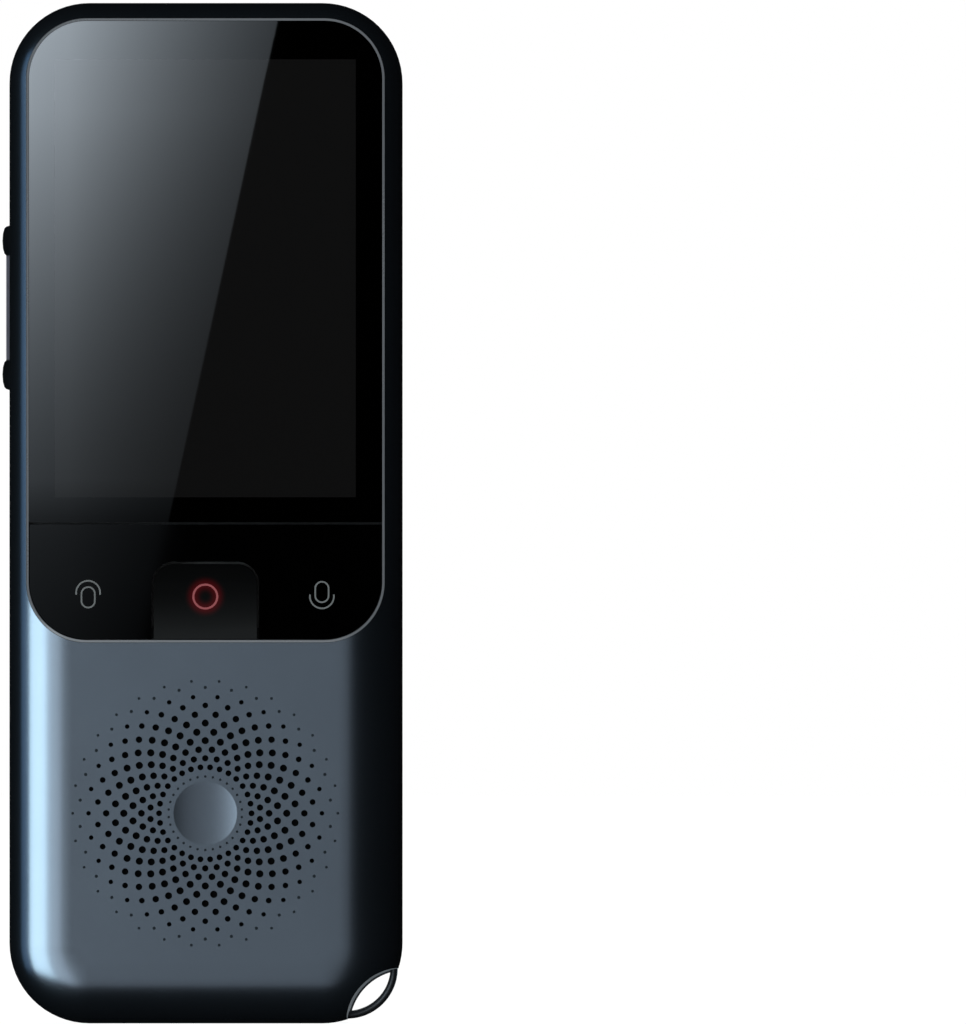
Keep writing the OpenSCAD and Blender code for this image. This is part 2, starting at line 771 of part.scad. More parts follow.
module shield_cans() color([0.72, 0.73, 0.75]) cans(can_list);

module board_chips() color([0.06, 0.06, 0.07]) cans(chip_list);

module top_microphone() color([0.80, 0.72, 0.45]) cans(microphone_list);

module antenna_strip() color([0.72, 0.50, 0.30]) cans(antenna_list);

// Flat tail of the display: through the chassis, round the board's edge and onto it
module display_flex() color([0.70, 0.45, 0.12]) {
    box_between(-5, 5, backlight_y1, board_y1 + 0.2, board_z0 - 0.5, board_z0 - 0.3);
    box_between(-5, 5, board_y1, board_y1 + 0.2, board_z0 - 0.3, board_z0 + 2);
}

module display_connector() color([0.85, 0.85, 0.80])
    box_between(-5.5, 5.5, board_y1 + 0.2, board_y1 + 1.1, board_z0 + 0.2, board_z0 + 2);

// ---------- battery ----------

module battery_tape() color([0.15, 0.15, 0.15]) for (s = [-1, 1])
    translate([s * battery_w / 4, (frame_y1 + battery_y0) / 2, (battery_z0 + battery_z1) / 2])
        cube([tape_w, tape_t, tape_h], center = true);

module battery_cell() color([0.70, 0.72, 0.74])
    translate([0, battery_y0 + battery_t / 2, battery_z0]) linear_extrude(battery_h)
        rounded_rect(battery_w, battery_t, 1.2);

module battery_pad() color([0.12, 0.12, 0.13]) for (share = [0.22, 0.78])
    translate([0, battery_y1 + pad_t / 2, battery_z0 + share * battery_h])
        cube([pad_w, pad_t, pad_h], center = true);

module battery_leads() color([0.70, 0.10, 0.08]) for (s = [-1, 1])
    translate([plug_x + s * lead_pitch / 2, board_y1 + 0.7, battery_z1])
        cylinder(r = lead_r, h = board_z0 + 1.2 - battery_z1);

module battery_plug() color([0.90, 0.90, 0.86])
    box_between(plug_x - plug_w / 2, plug_x + plug_w / 2, board_y1, board_y1 + 1.4,
        board_z0 + 1.2, board_z0 + 4);

// ---------- camera ----------

module camera_module() color([0.10, 0.10, 0.11]) {
    box_between(camera_x - camera_w / 2, camera_x + camera_w / 2, board_y1, camera_y1,
        window_z - camera_w / 2, window_z + camera_w / 2);
    difference() {
        pin(camera_x, window_z, barrel_r, camera_y1 - 0.2, barrel_y1);
        pin(camera_x, window_z, lens_ring_r - 0.9, camera_y1 + 0.6, barrel_y1 + 1);
    }
}

module camera_lens_ring() color([0.45, 0.47, 0.50]) difference() {
    pin(camera_x, window_z, lens_ring_r, barrel_y1, window_y0);
    pin(camera_x, window_z, lens_ring_r - 0.6, barrel_y1 - 1, window_y0 + 1);
}

module camera_lens() color([0.10, 0.12, 0.20])
    pin(camera_x, window_z, lens_ring_r - 0.95, camera_y1 + 0.6, barrel_y1 - 0.2);

module camera_window() color([0.05, 0.05, 0.07]) slab(window_y0, window_y1) window_outline(rim_w + fit);

module camera_rim() color([0.75, 0.77, 0.80]) slab(window_y0, window_y1 + 0.1) difference() {
    window_outline(fit);
    window_outline(rim_w);
}

module flash_led() color([0.95, 0.90, 0.55]) can(flash_x, window_z, led_w, led_w, led_t);

module flash_lens() color([0.93, 0.90, 0.78])
    slab(board_y1 + led_t + soft_gap, window_y0) translate([flash_x, window_z]) rounded_rect(flash_w, flash_w, 0.8);

// ---------- speaker ----------

module speaker_mesh() color([0.05, 0.05, 0.05]) pin(0, grille_z, speaker_r, in_front, gasket_y0);

module ring(r0, r1, y0, y1) difference() {
    pin(0, grille_z, r1, y0, y1);
    pin(0, grille_z, r0, y0 - 1, y1 + 1);
}

module speaker_gasket() color([0.18, 0.18, 0.19]) ring(basket_in_r + 0.2, speaker_r, gasket_y0, surround_y0);

module speaker_surround() color([0.10, 0.10, 0.10]) {
    ring(cone_r + soft_gap, speaker_r, surround_y0, basket_y0);
    ring(cone_r + soft_gap, basket_in_r - 0.1, basket_y0 - 0.05, basket_y0 + 0.4);
}

// Cone, dust cap and voice coil in one turned section
module speaker_cone() color([0.14, 0.14, 0.15])
    translate([0, 0, grille_z]) rotate([-90, 0, 0]) rotate_extrude() polygon([
        [0, cone_y0 + 0.1], [coil_r * 0.6, cone_y0 + 0.35], [coil_r, coil_y0 - cone_t],
        [cone_r - 0.8, cone_y0], [cone_r, cone_y0], [cone_r, cone_y0 + cone_t],
        [cone_r - 0.8, cone_y0 + cone_t], [coil_r + coil_wall / 2, coil_y0],
        [coil_r + coil_wall / 2, coil_y1], [coil_r - coil_wall / 2, coil_y1],
        [coil_r - coil_wall / 2, coil_y0], [coil_r * 0.6, cone_y0 + 0.35 + cone_t],
        [0, cone_y0 + 0.1 + cone_t]]);

module speaker_basket() color([0.40, 0.41, 0.43]) difference() {
    union() {
        pin(0, grille_z, speaker_r, basket_y0, frame_y0);
        pin(0, grille_z, basket_body_r, frame_y0, basket_back);
    }
    pin(0, grille_z, basket_in_r, basket_y0 - 1, basket_back - basket_sheet);
    pin(0, grille_z, gap_out_r, basket_y0, basket_back + 1);
    for (a = [0:60:300])
        pin(vent_at * cos(a), grille_z + vent_at * sin(a), vent_r, basket_y0, basket_back + 1);
}

module speaker_magnet() color([0.50, 0.51, 0.53]) difference() {
    pin(0, grille_z, magnet_r, basket_back, magnet_y1);
    ring(gap_in_r, gap_out_r, basket_back - 1, gap_y1);
}

// Block on the basket's back where the two leads start
module speaker_terminal() color([0.12, 0.12, 0.12])
    box_between(terminal_x - terminal_w / 2, terminal_x + terminal_w / 2,
        basket_back, usb_board_y1, terminal_z, terminal_z + terminal_h);

module speaker_leads() color([0.70, 0.10, 0.08]) for (s = [-1, 1])
    translate([terminal_x + s * terminal_w / 5, usb_board_y1 + speaker_lead_r, usb_z0 + usb_l + 0.6])
        cylinder(r = speaker_lead_r, h = terminal_z + terminal_h / 2 - usb_z0 - usb_l - 0.6);

// ---------- side keys ----------

// Side view of the volume key's outer edge: ramped ends and two bumps
module volume_key() color([0.10, 0.11, 0.13]) {
    x_out = -body_w / 2 - volume_out;
    half = volume_l / 2;
    translate([0, side_y + volume_w / 2, volume_z]) rotate([90, 0, 0]) linear_extrude(volume_w)
        polygon(concat(
            [[flange_x + 0.1, -half], [-body_w / 2 + 0.4, -half]],
            [for (s = [-1, 1], i = [0:6]) let (t = 180 * i / 6, c = s * bump_z)
                [x_out - bump_out * sin(t), c - 1.9 * cos(t)]],
            [[-body_w / 2 + 0.4, half], [flange_x + 0.1, half]]));
    box_between(flange_x, flange_x + flange_t, side_y - volume_flange_w / 2, side_y + volume_flange_w / 2,
        volume_z - volume_flange_l / 2, volume_z + volume_flange_l / 2);
    translate([pivot_x, side_y + volume_flange_w / 2, volume_z]) rotate([90, 0, 0])
        cylinder(r = pivot_r, h = volume_flange_w);
    for (s = [-1, 1]) side_plunger(volume_z + s * bump_z);
}

module side_plunger(z) translate([flange_x + flange_t - 0.2, side_y, z]) rotate([0, 90, 0])
    cylinder(r = 0.8, h = plunger_l + 0.2);

module power_button() color([0.20, 0.22, 0.26]) {
    translate([-body_w / 2 + scoop_depth - 0.1, side_y, power_z]) rotate([0, 90, 0])
        cylinder(r = power_r, h = flange_x + body_w / 2 - scoop_depth + 0.2);
    translate([flange_x, side_y, power_z]) rotate([0, 90, 0]) cylinder(r = power_flange_r, h = flange_t);
    side_plunger(power_z);
}

module side_board() color([0.10, 0.35, 0.18])
    box_between(side_board_x, side_board_x + side_board_t, frame_y1, side_y + switch_w / 2 + 0.4,
        volume_z - bump_z - switch_l / 2 - side_board_more, power_z + switch_l / 2 + side_board_more);

module side_switches() color([0.75, 0.76, 0.78])
    for (z = [volume_z - bump_z, volume_z + bump_z, power_z])
        box_between(switch_x, side_board_x, side_y - switch_w / 2, side_y + switch_w / 2,
            z - switch_l / 2, z + switch_l / 2);

// ---------- charging port ----------

module usb_board() color([0.08, 0.36, 0.20]) {
    box_between(-usb_board_w / 2, usb_board_w / 2, usb_board_y0, usb_board_y1, usb_board_z0, usb_board_z1);
    box_between(usb_tab_x, usb_board_w / 2, usb_board_y0, usb_board_y1, usb_board_z1, link_z + link_w);
}

module usb_socket() color([0.78, 0.79, 0.80]) difference() {
    slab_z(usb_z0, usb_z0 + usb_l) translate([0, usb_y]) stadium(usb_w, usb_t);
    slab_z(-1, usb_z0 + usb_l - 0.8) translate([0, usb_y])
        stadium(usb_w - 2 * usb_sheet, usb_t - 2 * usb_sheet);
}

module usb_tongue() color([0.06, 0.06, 0.07])
    box_between(-3.3, 3.3, usb_y - 0.35, usb_y + 0.35, usb_z0 + 0.9, usb_z0 + usb_l - 0.8);

module bottom_microphone() color([0.80, 0.72, 0.45])
    box_between(-mic_x - mic_w / 2, -mic_x + mic_w / 2, usb_board_y1, usb_board_y1 + mic_t,
        usb_board_z0, usb_board_z0 + 3.5);

// Flat flex from the charging board up beside the battery to the main board
module board_link() color([0.70, 0.45, 0.12]) {
    y1 = frame_y1 + link_t;
    z1 = board_z0 + 8;
    box_between(link_x - link_w, link_x, frame_y1, y1, link_z, z1);
    box_between(usb_tab_x, link_x, frame_y1, y1, link_z, link_z + link_w);
    box_between(usb_tab_x, usb_tab_x + 3, y1, usb_board_y0, link_z, link_z + link_w);
    box_between(link_x - 6.6, link_x, frame_y1, y1, z1 - link_w, z1);
    box_between(link_x - 6.6, link_x - 3.8, y1, board_y0, z1 - link_w, z1);
}

module strap_bar() color([0.16, 0.16, 0.17]) bar_shape();

front_shell();
rear_shell();
panel_rim();
front_lens();
display_panel();
backlight();
talk_rocker();
centre_key();
key_board();
key_domes();
mid_frame();
frame_screws();
main_board();
board_screws();
shield_cans();
board_chips();
top_microphone();
antenna_strip();
display_flex();
display_connector();
battery_tape();
battery_cell();
battery_pad();
battery_leads();
battery_plug();
camera_module();
camera_lens_ring();
camera_lens();
camera_window();
camera_rim();
flash_led();
flash_lens();
speaker_mesh();
speaker_gasket();
speaker_surround();
speaker_cone();
speaker_basket();
speaker_magnet();
speaker_terminal();
speaker_leads();
volume_key();
power_button();
side_board();
side_switches();
usb_board();
usb_socket();
usb_tongue();
bottom_microphone();
board_link();
strap_bar();
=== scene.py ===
# %% [markdown]
# # A handheld translator
#
# This notebook dresses a pocket translator: a pillow-shaped housing in two moulded
# halves, a black glass front with talk keys, a speaker grille, a camera island on the
# back and a strap bar across one corner. Its measured frame comes from the CAD model.
# Each piece is then made or finished here, in the same place and in metres.

# %% Load the frame
import math
import bpy
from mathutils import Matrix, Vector


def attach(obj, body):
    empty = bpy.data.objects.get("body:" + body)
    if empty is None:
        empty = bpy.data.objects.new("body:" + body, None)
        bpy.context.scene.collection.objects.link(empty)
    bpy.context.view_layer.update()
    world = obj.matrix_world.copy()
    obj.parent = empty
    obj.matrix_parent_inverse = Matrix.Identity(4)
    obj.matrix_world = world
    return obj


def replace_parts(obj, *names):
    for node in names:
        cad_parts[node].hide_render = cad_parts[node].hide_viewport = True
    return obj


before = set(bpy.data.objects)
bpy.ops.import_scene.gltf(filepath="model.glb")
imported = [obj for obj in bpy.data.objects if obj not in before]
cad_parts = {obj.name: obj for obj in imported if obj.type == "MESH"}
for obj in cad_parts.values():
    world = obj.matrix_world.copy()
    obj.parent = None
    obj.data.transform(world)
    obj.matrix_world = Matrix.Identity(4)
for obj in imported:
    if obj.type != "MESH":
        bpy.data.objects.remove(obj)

MM = 0.001
HALF_WIDTH, HALF_HEIGHT, CORNER_R = 26, 67.5, 10.6
PARTING_Y = -0.8
FRONT_Y = -7
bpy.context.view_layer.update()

# %% [markdown]
# ## The camera
#
# A camera could come close with a short lens, but then the sides would run together.
# A long lens from far away keeps them parallel. It looks straight at the front, and
# stands a little to the right of the device, so that the device fills the left half of
# the frame. The scale is that of the parting line, which draws the outline.

# %% Place the camera
FOCAL = 500
SENSOR = 36
VIEW_ROWS = 1024
MM_PER_ROW = 0.1324
VIEW_HEIGHT = VIEW_ROWS * MM_PER_ROW * MM
CAMERA_X, CAMERA_Z = 36.65 * MM, 67.66 * MM

camera_data = bpy.data.cameras.new("studio_camera")
camera_data.lens = FOCAL
camera_data.sensor_width = SENSOR
camera_data.clip_start = 0.05
camera = bpy.data.objects.new("studio_camera", camera_data)
bpy.context.scene.collection.objects.link(camera)
camera_distance = VIEW_HEIGHT * FOCAL / SENSOR
camera.location = (CAMERA_X, PARTING_Y * MM - camera_distance, CAMERA_Z)
camera.rotation_euler = (math.pi / 2, 0, 0)
bpy.context.scene.camera = camera
bpy.context.scene.view_settings.view_transform = "Standard"
print("camera", round(camera_distance, 3), "m in front")

# %% [markdown]
# ## Shared surface effects
#
# Real surfaces are never even. Three effects are used by many finishes, so each is a
# node group, built once. `fine_grain` gives the soft mottling and tiny bumps of a
# moulded, rolled or pressed surface. `light_wear` finds the convex edges, which get a
# little paler with use, and breaks them up so that no line looks drawn. `dust` leaves
# a few pale specks, which are what tells glossy black plastic from a hole.

# %% Node helpers
def add_node(tree, kind, place=(0, 0), **settings):
    node = tree.nodes.new(kind)
    node.location = place
    for key, value in settings.items():
        setattr(node, key, value)
    return node


def maths(tree, operation, first, second, place=(0, 0), clamp=False):
    """A Math node. Each input is a socket or a number."""
    node = add_node(tree, "ShaderNodeMath", place, operation=operation, use_clamp=clamp)
    for socket, value in zip(node.inputs, (first, second)):
        if isinstance(value, (int, float)):
            socket.default_value = value
        elif value is not None:
            tree.links.new(value, socket)
    return node.outputs[0]


def remap(tree, value, start, end, low=0.0, high=1.0, place=(0, 0), kind="LINEAR"):
    node = add_node(tree, "ShaderNodeMapRange", place, interpolation_type=kind)
    tree.links.new(value, node.inputs["Value"])
    for label, number in (("From Min", start), ("From Max", end), ("To Min", low),
                          ("To Max", high)):
        node.inputs[label].default_value = number
    return node.outputs[0]


def mix_colours(tree, mask, first, second, place=(0, 0)):
    """A Mix node for colours. The mask is a socket; a colour is a socket or a tuple."""
    node = add_node(tree, "ShaderNodeMix", place, data_type="RGBA")
    tree.links.new(mask, node.inputs[0])
    for socket, value in ((node.inputs[6], first), (node.inputs[7], second)):
        if isinstance(value, tuple):
            socket.default_value = (*value, 1)
        else:
            tree.links.new(value, socket)
    return node.outputs[2]


def axes_of(tree, place, where=(-600, 700)):
    """The sockets X, Y and Z of a place."""
    node = add_node(tree, "ShaderNodeSeparateXYZ", where)
    tree.links.new(place, node.inputs[0])
    return node.outputs


def new_group(name, inputs, outputs):
    group = bpy.data.node_groups.new(name, "ShaderNodeTree")
    for label, kind, value in inputs:
        socket = group.interface.new_socket(name=label, in_out="INPUT", socket_type=kind)
        if value is not None:
            socket.default_value = value
    for label, kind in outputs:
        group.interface.new_socket(name=label, in_out="OUTPUT", socket_type=kind)
    start = add_node(group, "NodeGroupInput", (-900, 0))
    end = add_node(group, "NodeGroupOutput", (600, 0))
    return group, start, end


def noise(tree, vector, scale, detail, place=(0, 0)):
    node = add_node(tree, "ShaderNodeTexNoise", place)
    node.inputs["Detail"].default_value = detail
    tree.links.new(vector, node.inputs["Vector"])
    if isinstance(scale, (int, float)):
        node.inputs["Scale"].default_value = scale
    else:
        tree.links.new(scale, node.inputs["Scale"])
    return node.outputs["Fac"]


# %% Fine grain
grain_group, start, end = new_group(
    "fine_grain",
    [("Vector", "NodeSocketVector", None), ("Grains per Metre", "NodeSocketFloat", 2000.0),
     ("Patches per Metre", "NodeSocketFloat", 60.0)],
    [("Mottle", "NodeSocketFloat"), ("Height", "NodeSocketFloat")])
place = start.outputs["Vector"]
grain = noise(grain_group, place, start.outputs["Grains per Metre"], 3, (-500, 150))
patches = noise(grain_group, place, start.outputs["Patches per Metre"], 4, (-500, -150))
few_grains = maths(grain_group, "MULTIPLY", grain, 0.35, (-250, 100))
grain_group.links.new(maths(grain_group, "ADD", few_grains, patches), end.inputs["Mottle"])
grain_group.links.new(grain, end.inputs["Height"])
print("group", grain_group.name)

# %% Light wear on edges
wear_group, start, end = new_group(
    "light_wear",
    [("Vector", "NodeSocketVector", None), ("Reach", "NodeSocketFloat", 0.5)],
    [("Edge", "NodeSocketFloat")])
form = add_node(wear_group, "ShaderNodeNewGeometry", (-600, 200))
convex = remap(wear_group, form.outputs["Pointiness"], 0.53, 0.62, place=(-350, 200))
patchy = noise(wear_group, start.outputs["Vector"], 220, 5, (-600, -150))
broken = maths(wear_group, "MULTIPLY", convex, patchy, (-100, 0))
wear_group.links.new(maths(wear_group, "MULTIPLY", broken, start.outputs["Reach"]),
                     end.inputs["Edge"])
print("group", wear_group.name)

# %% Dust specks
dust_group, start, end = new_group(
    "dust",
    [("Vector", "NodeSocketVector", None), ("Amount", "NodeSocketFloat", 0.3)],
    [("Specks", "NodeSocketFloat")])
cells = add_node(dust_group, "ShaderNodeTexVoronoi", (-600, 100))
cells.inputs["Scale"].default_value = 700
dust_group.links.new(start.outputs["Vector"], cells.inputs["Vector"])
dots = remap(dust_group, cells.outputs["Distance"], 0.12, 0.04, place=(-350, 100))
where = remap(dust_group, noise(dust_group, start.outputs["Vector"], 45, 2, (-600, -200)),
              0.5, 0.75, place=(-350, -200))
few = maths(dust_group, "MULTIPLY", dots, where, (-100, 0))
dust_group.links.new(maths(dust_group, "MULTIPLY", few, start.outputs["Amount"]),
                     end.inputs["Specks"])
print("group", dust_group.name)


# %% [markdown]
# ## Finishes
#
# Each finish has a dark and a light tone that the grain mixes, a roughness that moves
# a little with it, and a bump at the scale of the real surface. What is the same all
# over, such as a clear coat or the index of refraction, is set on the shader itself.

# %% Finish maker
BUMP_HEIGHT = 0.02 * MM
DUST_GREY = (0.3, 0.3, 0.3)


def shade(colour):
    """A linear colour, which may be written as six hex digits."""
    if isinstance(colour, tuple):
        return colour
    parts = [int(colour[i:i + 2], 16) / 255 for i in (0, 2, 4)]
    return tuple(c / 12.92 if c <= 0.04045 else ((c + 0.055) / 1.055) ** 2.4 for c in parts)


def finish(name, dark, light, rough, rough_more=0.08, metal=0.0, grains=2000, patches=60,
           bump=0.02, wear=0.0, dusty=0.0, extra=None, **shader):
    """Makes a finish. `extra` may change the colour before it reaches the shader."""
    material = bpy.data.materials.new(name)
    material.use_nodes = True
    tree = material.node_tree
    tree.nodes.clear()
    output = add_node(tree, "ShaderNodeOutputMaterial", (900, 0))
    body = add_node(tree, "ShaderNodeBsdfPrincipled", (600, 0))
    place = add_node(tree, "ShaderNodeTexCoord", (-900, 0)).outputs["Object"]
    mottling = add_node(tree, "ShaderNodeGroup", (-600, 0), node_tree=grain_group)
    mottling.inputs["Grains per Metre"].default_value = grains
    mottling.inputs["Patches per Metre"].default_value = patches
    link = tree.links.new
    link(place, mottling.inputs["Vector"])
    mottle = mottling.outputs["Mottle"]
    colour = mix_colours(tree, mottle, shade(dark), shade(light), (-200, 200))
    shine = remap(tree, mottle, 0.3, 0.9, rough, rough + rough_more, (-200, -100))
    if wear:
        worn = add_node(tree, "ShaderNodeGroup", (-600, 300), node_tree=wear_group)
        worn.inputs["Reach"].default_value = wear
        link(place, worn.inputs["Vector"])
        paler = tuple(min(1, c * 1.8 + 0.02) for c in shade(light))
        colour = mix_colours(tree, worn.outputs["Edge"], colour, paler, (0, 300))
    if dusty:
        specks = add_node(tree, "ShaderNodeGroup", (-600, 500), node_tree=dust_group)
        specks.inputs["Amount"].default_value = dusty
        link(place, specks.inputs["Vector"])
        colour = mix_colours(tree, specks.outputs["Specks"], colour, DUST_GREY, (150, 300))
    if extra:
        colour = extra(tree, place, colour, body)
    link(colour, body.inputs["Base Color"])
    link(shine, body.inputs["Roughness"])
    if bump:
        relief = add_node(tree, "ShaderNodeBump", (200, -300))
        relief.inputs["Strength"].default_value = bump
        relief.inputs["Distance"].default_value = BUMP_HEIGHT
        link(mottling.outputs["Height"], relief.inputs["Height"])
        link(relief.outputs["Normal"], body.inputs["Normal"])
    body.inputs["Metallic"].default_value = metal
    for label, value in shader.items():
        body.inputs[label.replace("_", " ")].default_value = value
    link(body.outputs[0], output.inputs["Surface"])
    return material


# %% [markdown]
# The housing is sprayed with a satin blue-grey lacquer full of fine metal flake. The
# flakes are too small to be seen one by one, so the coat is made as an almost full metal
# with a narrow spread of roughness, and not as a pattern. The plastic inside stays bare.

# %% Housing lacquer
lacquer = finish("housing_lacquer", "727f8e", "788695", 0.2, 0.02, metal=0.98, grains=14000,
                 patches=70, bump=0.02, wear=0.1)
inner_plastic = finish("inner_plastic", "303336", "3c3f43", 0.5, grains=5000)
# The strap cut's wall is bare plastic; its pale tone is partly a painted reflection, and its faint
# bluish glow is painted light
bare_wall_painted_light = finish("bare_wall_painted_light", "c6cace", "d4d8dc", 0.45, grains=7000, bump=0.05,
                   Emission_Color=(0.75, 0.9, 1, 1), Emission_Strength=0.07)
print("lacquer", lacquer.name)

# %% [markdown]
# A thin bright ring frames the black panel and another one the camera window. They are
# coated plastic, so only a part of their shine is metallic. The strap bar is dark metal
# and the side keys are satin black plastic. Between the two bumps of the volume key a
# grey band is painted as a highlight, where its rounded face would catch the light. That
# could be a piece of its own, but the key is one moulding, so its finish changes along
# its length.

# %% Trim
bright_trim = finish("bright_trim", "a6aeb6", "bec6ce", 0.2, 0.1, metal=0.25, grains=6000,
                     bump=0.05)
dark_bar = finish("dark_bar", "34363a", "42454a", 0.3, 0.12, metal=0.8, grains=7000, bump=0.08,
                  wear=0.6)
print("trim", bright_trim.name)

# %% Side keys
SIDE_LOOK = dict(dark="101316", light="181b1f", rough=0.4, rough_more=0.1,
                 grains=8000, bump=0.1, wear=0.3, Specular_IOR_Level=0.3)
# The grey band between the volume key's bumps is a painted highlight of its rounded face
VOLUME_Z = 94.7 * MM
HIGHLIGHT_ENDS = (7.0 * MM, 6.8 * MM)
PAINTED_HIGHLIGHT_GREY = (0.44, 0.42, 0.5)


def painted_highlight_middle(tree, place, colour, body):
    """Paints a grey highlight on the volume key between its two black bumps."""
    off = maths(tree, "SUBTRACT", axes_of(tree, place)["Z"], VOLUME_Z, (-400, 700))
    away = maths(tree, "ABSOLUTE", off, None, (-200, 700))
    middle = remap(tree, away, *HIGHLIGHT_ENDS, place=(0, 700))
    return mix_colours(tree, middle, colour, PAINTED_HIGHLIGHT_GREY, (350, 500))


side_plastic = finish("side_plastic", **SIDE_LOOK)
volume_plastic_painted_highlight = finish("volume_plastic_painted_highlight", extra=painted_highlight_middle, **SIDE_LOOK)
print("side keys", side_plastic.name, volume_plastic_painted_highlight.name)


# %% [markdown]
# ## Black glass with a display behind it
#
# The cover lens is printed black from behind, except over the display. Switched off,
# the display is a trace lighter than the print. That border is part of the print, so it
# is a mask on the glass and not a piece.

# %% Display area on the glass
DISPLAY_HALF = 19.86 * MM
DISPLAY_Z = (69.6 * MM, 127.4 * MM)
DISPLAY_OFF = (0.0247, 0.0247, 0.025)


def display_area(tree, place, colour, body):
    axes = axes_of(tree, place)
    aside = maths(tree, "ABSOLUTE", axes["X"], None, (-400, 800))
    inside_x = maths(tree, "LESS_THAN", aside, DISPLAY_HALF, (-200, 800))
    above = maths(tree, "GREATER_THAN", axes["Z"], DISPLAY_Z[0], (-200, 700))
    below = maths(tree, "LESS_THAN", axes["Z"], DISPLAY_Z[1], (-200, 600))
    inside_z = maths(tree, "MULTIPLY", above, below, (0, 700))
    mask = maths(tree, "MULTIPLY", inside_x, inside_z, (150, 750))
    return mix_colours(tree, mask, colour, DISPLAY_OFF, (350, 500))


GLASS = {"IOR": 1.5, "Specular_IOR_Level": 0.28}
black_glass = finish("black_glass", (0.0003, 0.0003, 0.0003), (0.0006, 0.0006, 0.0006), 0.004,
                     0.004, grains=1500, patches=40, bump=0.0, dusty=0.02, extra=display_area,
                     **GLASS)
black_key = finish("black_key", (0.0004, 0.0004, 0.0005), (0.0008, 0.0008, 0.0009), 0.02, 0.012,
                   grains=4000, bump=0.0, dusty=0.02, **GLASS)
print("glass", black_glass.name)

# %% [markdown]
# ## Lit ring in the middle key
#
# The middle key is a smoky moulding. A red light pipe sits in it as a ring, and some
# of its light spreads in the plastic around. That glow is part of the key's material:
# it falls off with the distance from the ring's line.

# %% Middle key plastic
RING_AT = Vector((0, 0, 56.5)) * MM
GLOW_R = 1.56 * MM
GLOW_REACH = 1.5 * MM
GLOW_RED = (0.045, 0.0002, 0.0012)


def ring_glow(tree, place, colour, body):
    flat = add_node(tree, "ShaderNodeMapping", (-700, 900))
    flat.inputs["Location"].default_value = -RING_AT
    flat.inputs["Scale"].default_value = (1, 0, 1)
    tree.links.new(place, flat.inputs["Vector"])
    length = add_node(tree, "ShaderNodeVectorMath", (-500, 900), operation="LENGTH")
    tree.links.new(flat.outputs[0], length.inputs[0])
    off = maths(tree, "SUBTRACT", length.outputs["Value"], GLOW_R, (-300, 900))
    away = maths(tree, "ABSOLUTE", off, None, (-150, 900))
    near = remap(tree, away, GLOW_REACH, 0.0, place=(0, 900), kind="SMOOTHSTEP")
    glow = maths(tree, "MULTIPLY", near, near, (150, 900))
    tint = mix_colours(tree, glow, (0, 0, 0), GLOW_RED, (300, 900))
    tree.links.new(tint, body.inputs["Emission Color"])
    body.inputs["Emission Strength"].default_value = 1.0
    return colour


grey_key = finish("grey_key", (0.0022, 0.0027, 0.0032), (0.0036, 0.0044, 0.0052), 0.3, 0.05,
                  grains=6000, bump=0.01, wear=0.1, dusty=0.02, extra=ring_glow, IOR=1.5)
lit_red = finish("lit_red", "7c3e40", "8a4a4c", 0.3, 0.1, grains=6000,
                 Emission_Color=(0.09, 0.01, 0.014, 1), Emission_Strength=1.0)
printed_grey = finish("printed_grey", "686a6c", "767879", 0.45, 0.1, grains=9000)
# The dark of the fine grille dots is painted shade, as in holes
pit_painted_shade = finish("pit_painted_shade", "1c2228", "262c32", 0.7, 0.1, grains=9000, Specular_IOR_Level=0.1)
print("middle key", grey_key.name, lit_red.name)

# %% [markdown]
# ## Finishes inside
#
# Rolled steel, cast alloy, copper and gold differ in colour, in roughness and in the
# depth of their grain. Little of the inside shows, through the grille and the gaps, so
# each material gets one finish, and no piece has its own.

# %% Metals
sheet_steel = finish("sheet_steel", "9a9c9f", "b8babc", 0.3, 0.15, metal=1.0, grains=3000,
                     bump=0.1, wear=0.2)
pressed_alloy = finish("pressed_alloy", "8f9397", "aaadb0", 0.42, 0.12, metal=1.0, grains=4000,
                       bump=0.2)
screw_steel = finish("screw_steel", "6a6c70", "8a8c90", 0.28, 0.12, metal=1.0, grains=5000,
                     bump=0.05, wear=0.4)
magnet_plate = finish("magnet_plate", "72757a", "8b8e92", 0.25, 0.15, metal=1.0, grains=2500,
                      bump=0.05)
bare_copper = finish("bare_copper", "a8784a", "c89664", 0.3, 0.15, metal=1.0, grains=4000,
                     bump=0.05)
gold_plate = finish("gold_plate", "b8923e", "d4ae58", 0.25, 0.1, metal=1.0, grains=4000,
                    bump=0.05)
pouch_foil = finish("pouch_foil", "9fa3a8", "c2c5c9", 0.35, 0.15, metal=0.9, grains=900,
                    patches=150, bump=0.4)
print("finishes:", len(bpy.data.materials))

# %% Boards, films and plastics
solder_mask = finish("solder_mask", "0c4a2c", "146b3e", 0.3, 0.12, grains=1500, patches=400,
                     bump=0.1)
# The key board is black solder mask, painted pale grey here as painted light in the thin gap round
# the keys
black_mask_painted_light = finish("black_mask_painted_light", "787c7e", "868a8c", 0.4, 0.12, grains=1500, patches=400,
                    bump=0.1)
moulded_chip = finish("moulded_chip", "101113", "1a1b1e", 0.5, 0.12, grains=9000, bump=0.2)
amber_film = finish("amber_film", "a86818", "c98a30", 0.3, 0.1, grains=1200, patches=200,
                    bump=0.05)
white_moulding = finish("white_moulding", "d6d4c8", "e6e4da", 0.45, 0.1, grains=5000)
red_insulation = finish("red_insulation", "94160f", "b4221a", 0.4, 0.1, grains=5000)
soft_foam = finish("soft_foam", "17181a", "292b2e", 0.9, 0.05, grains=7000, patches=900, bump=0.9)
pressed_cone = finish("pressed_cone", "1b1b1d", "2c2c2f", 0.8, 0.1, grains=3500, patches=500,
                      bump=0.7)
dust_mesh = finish("dust_mesh", "060606", "101011", 0.9, 0.05, grains=9000, bump=0.6)
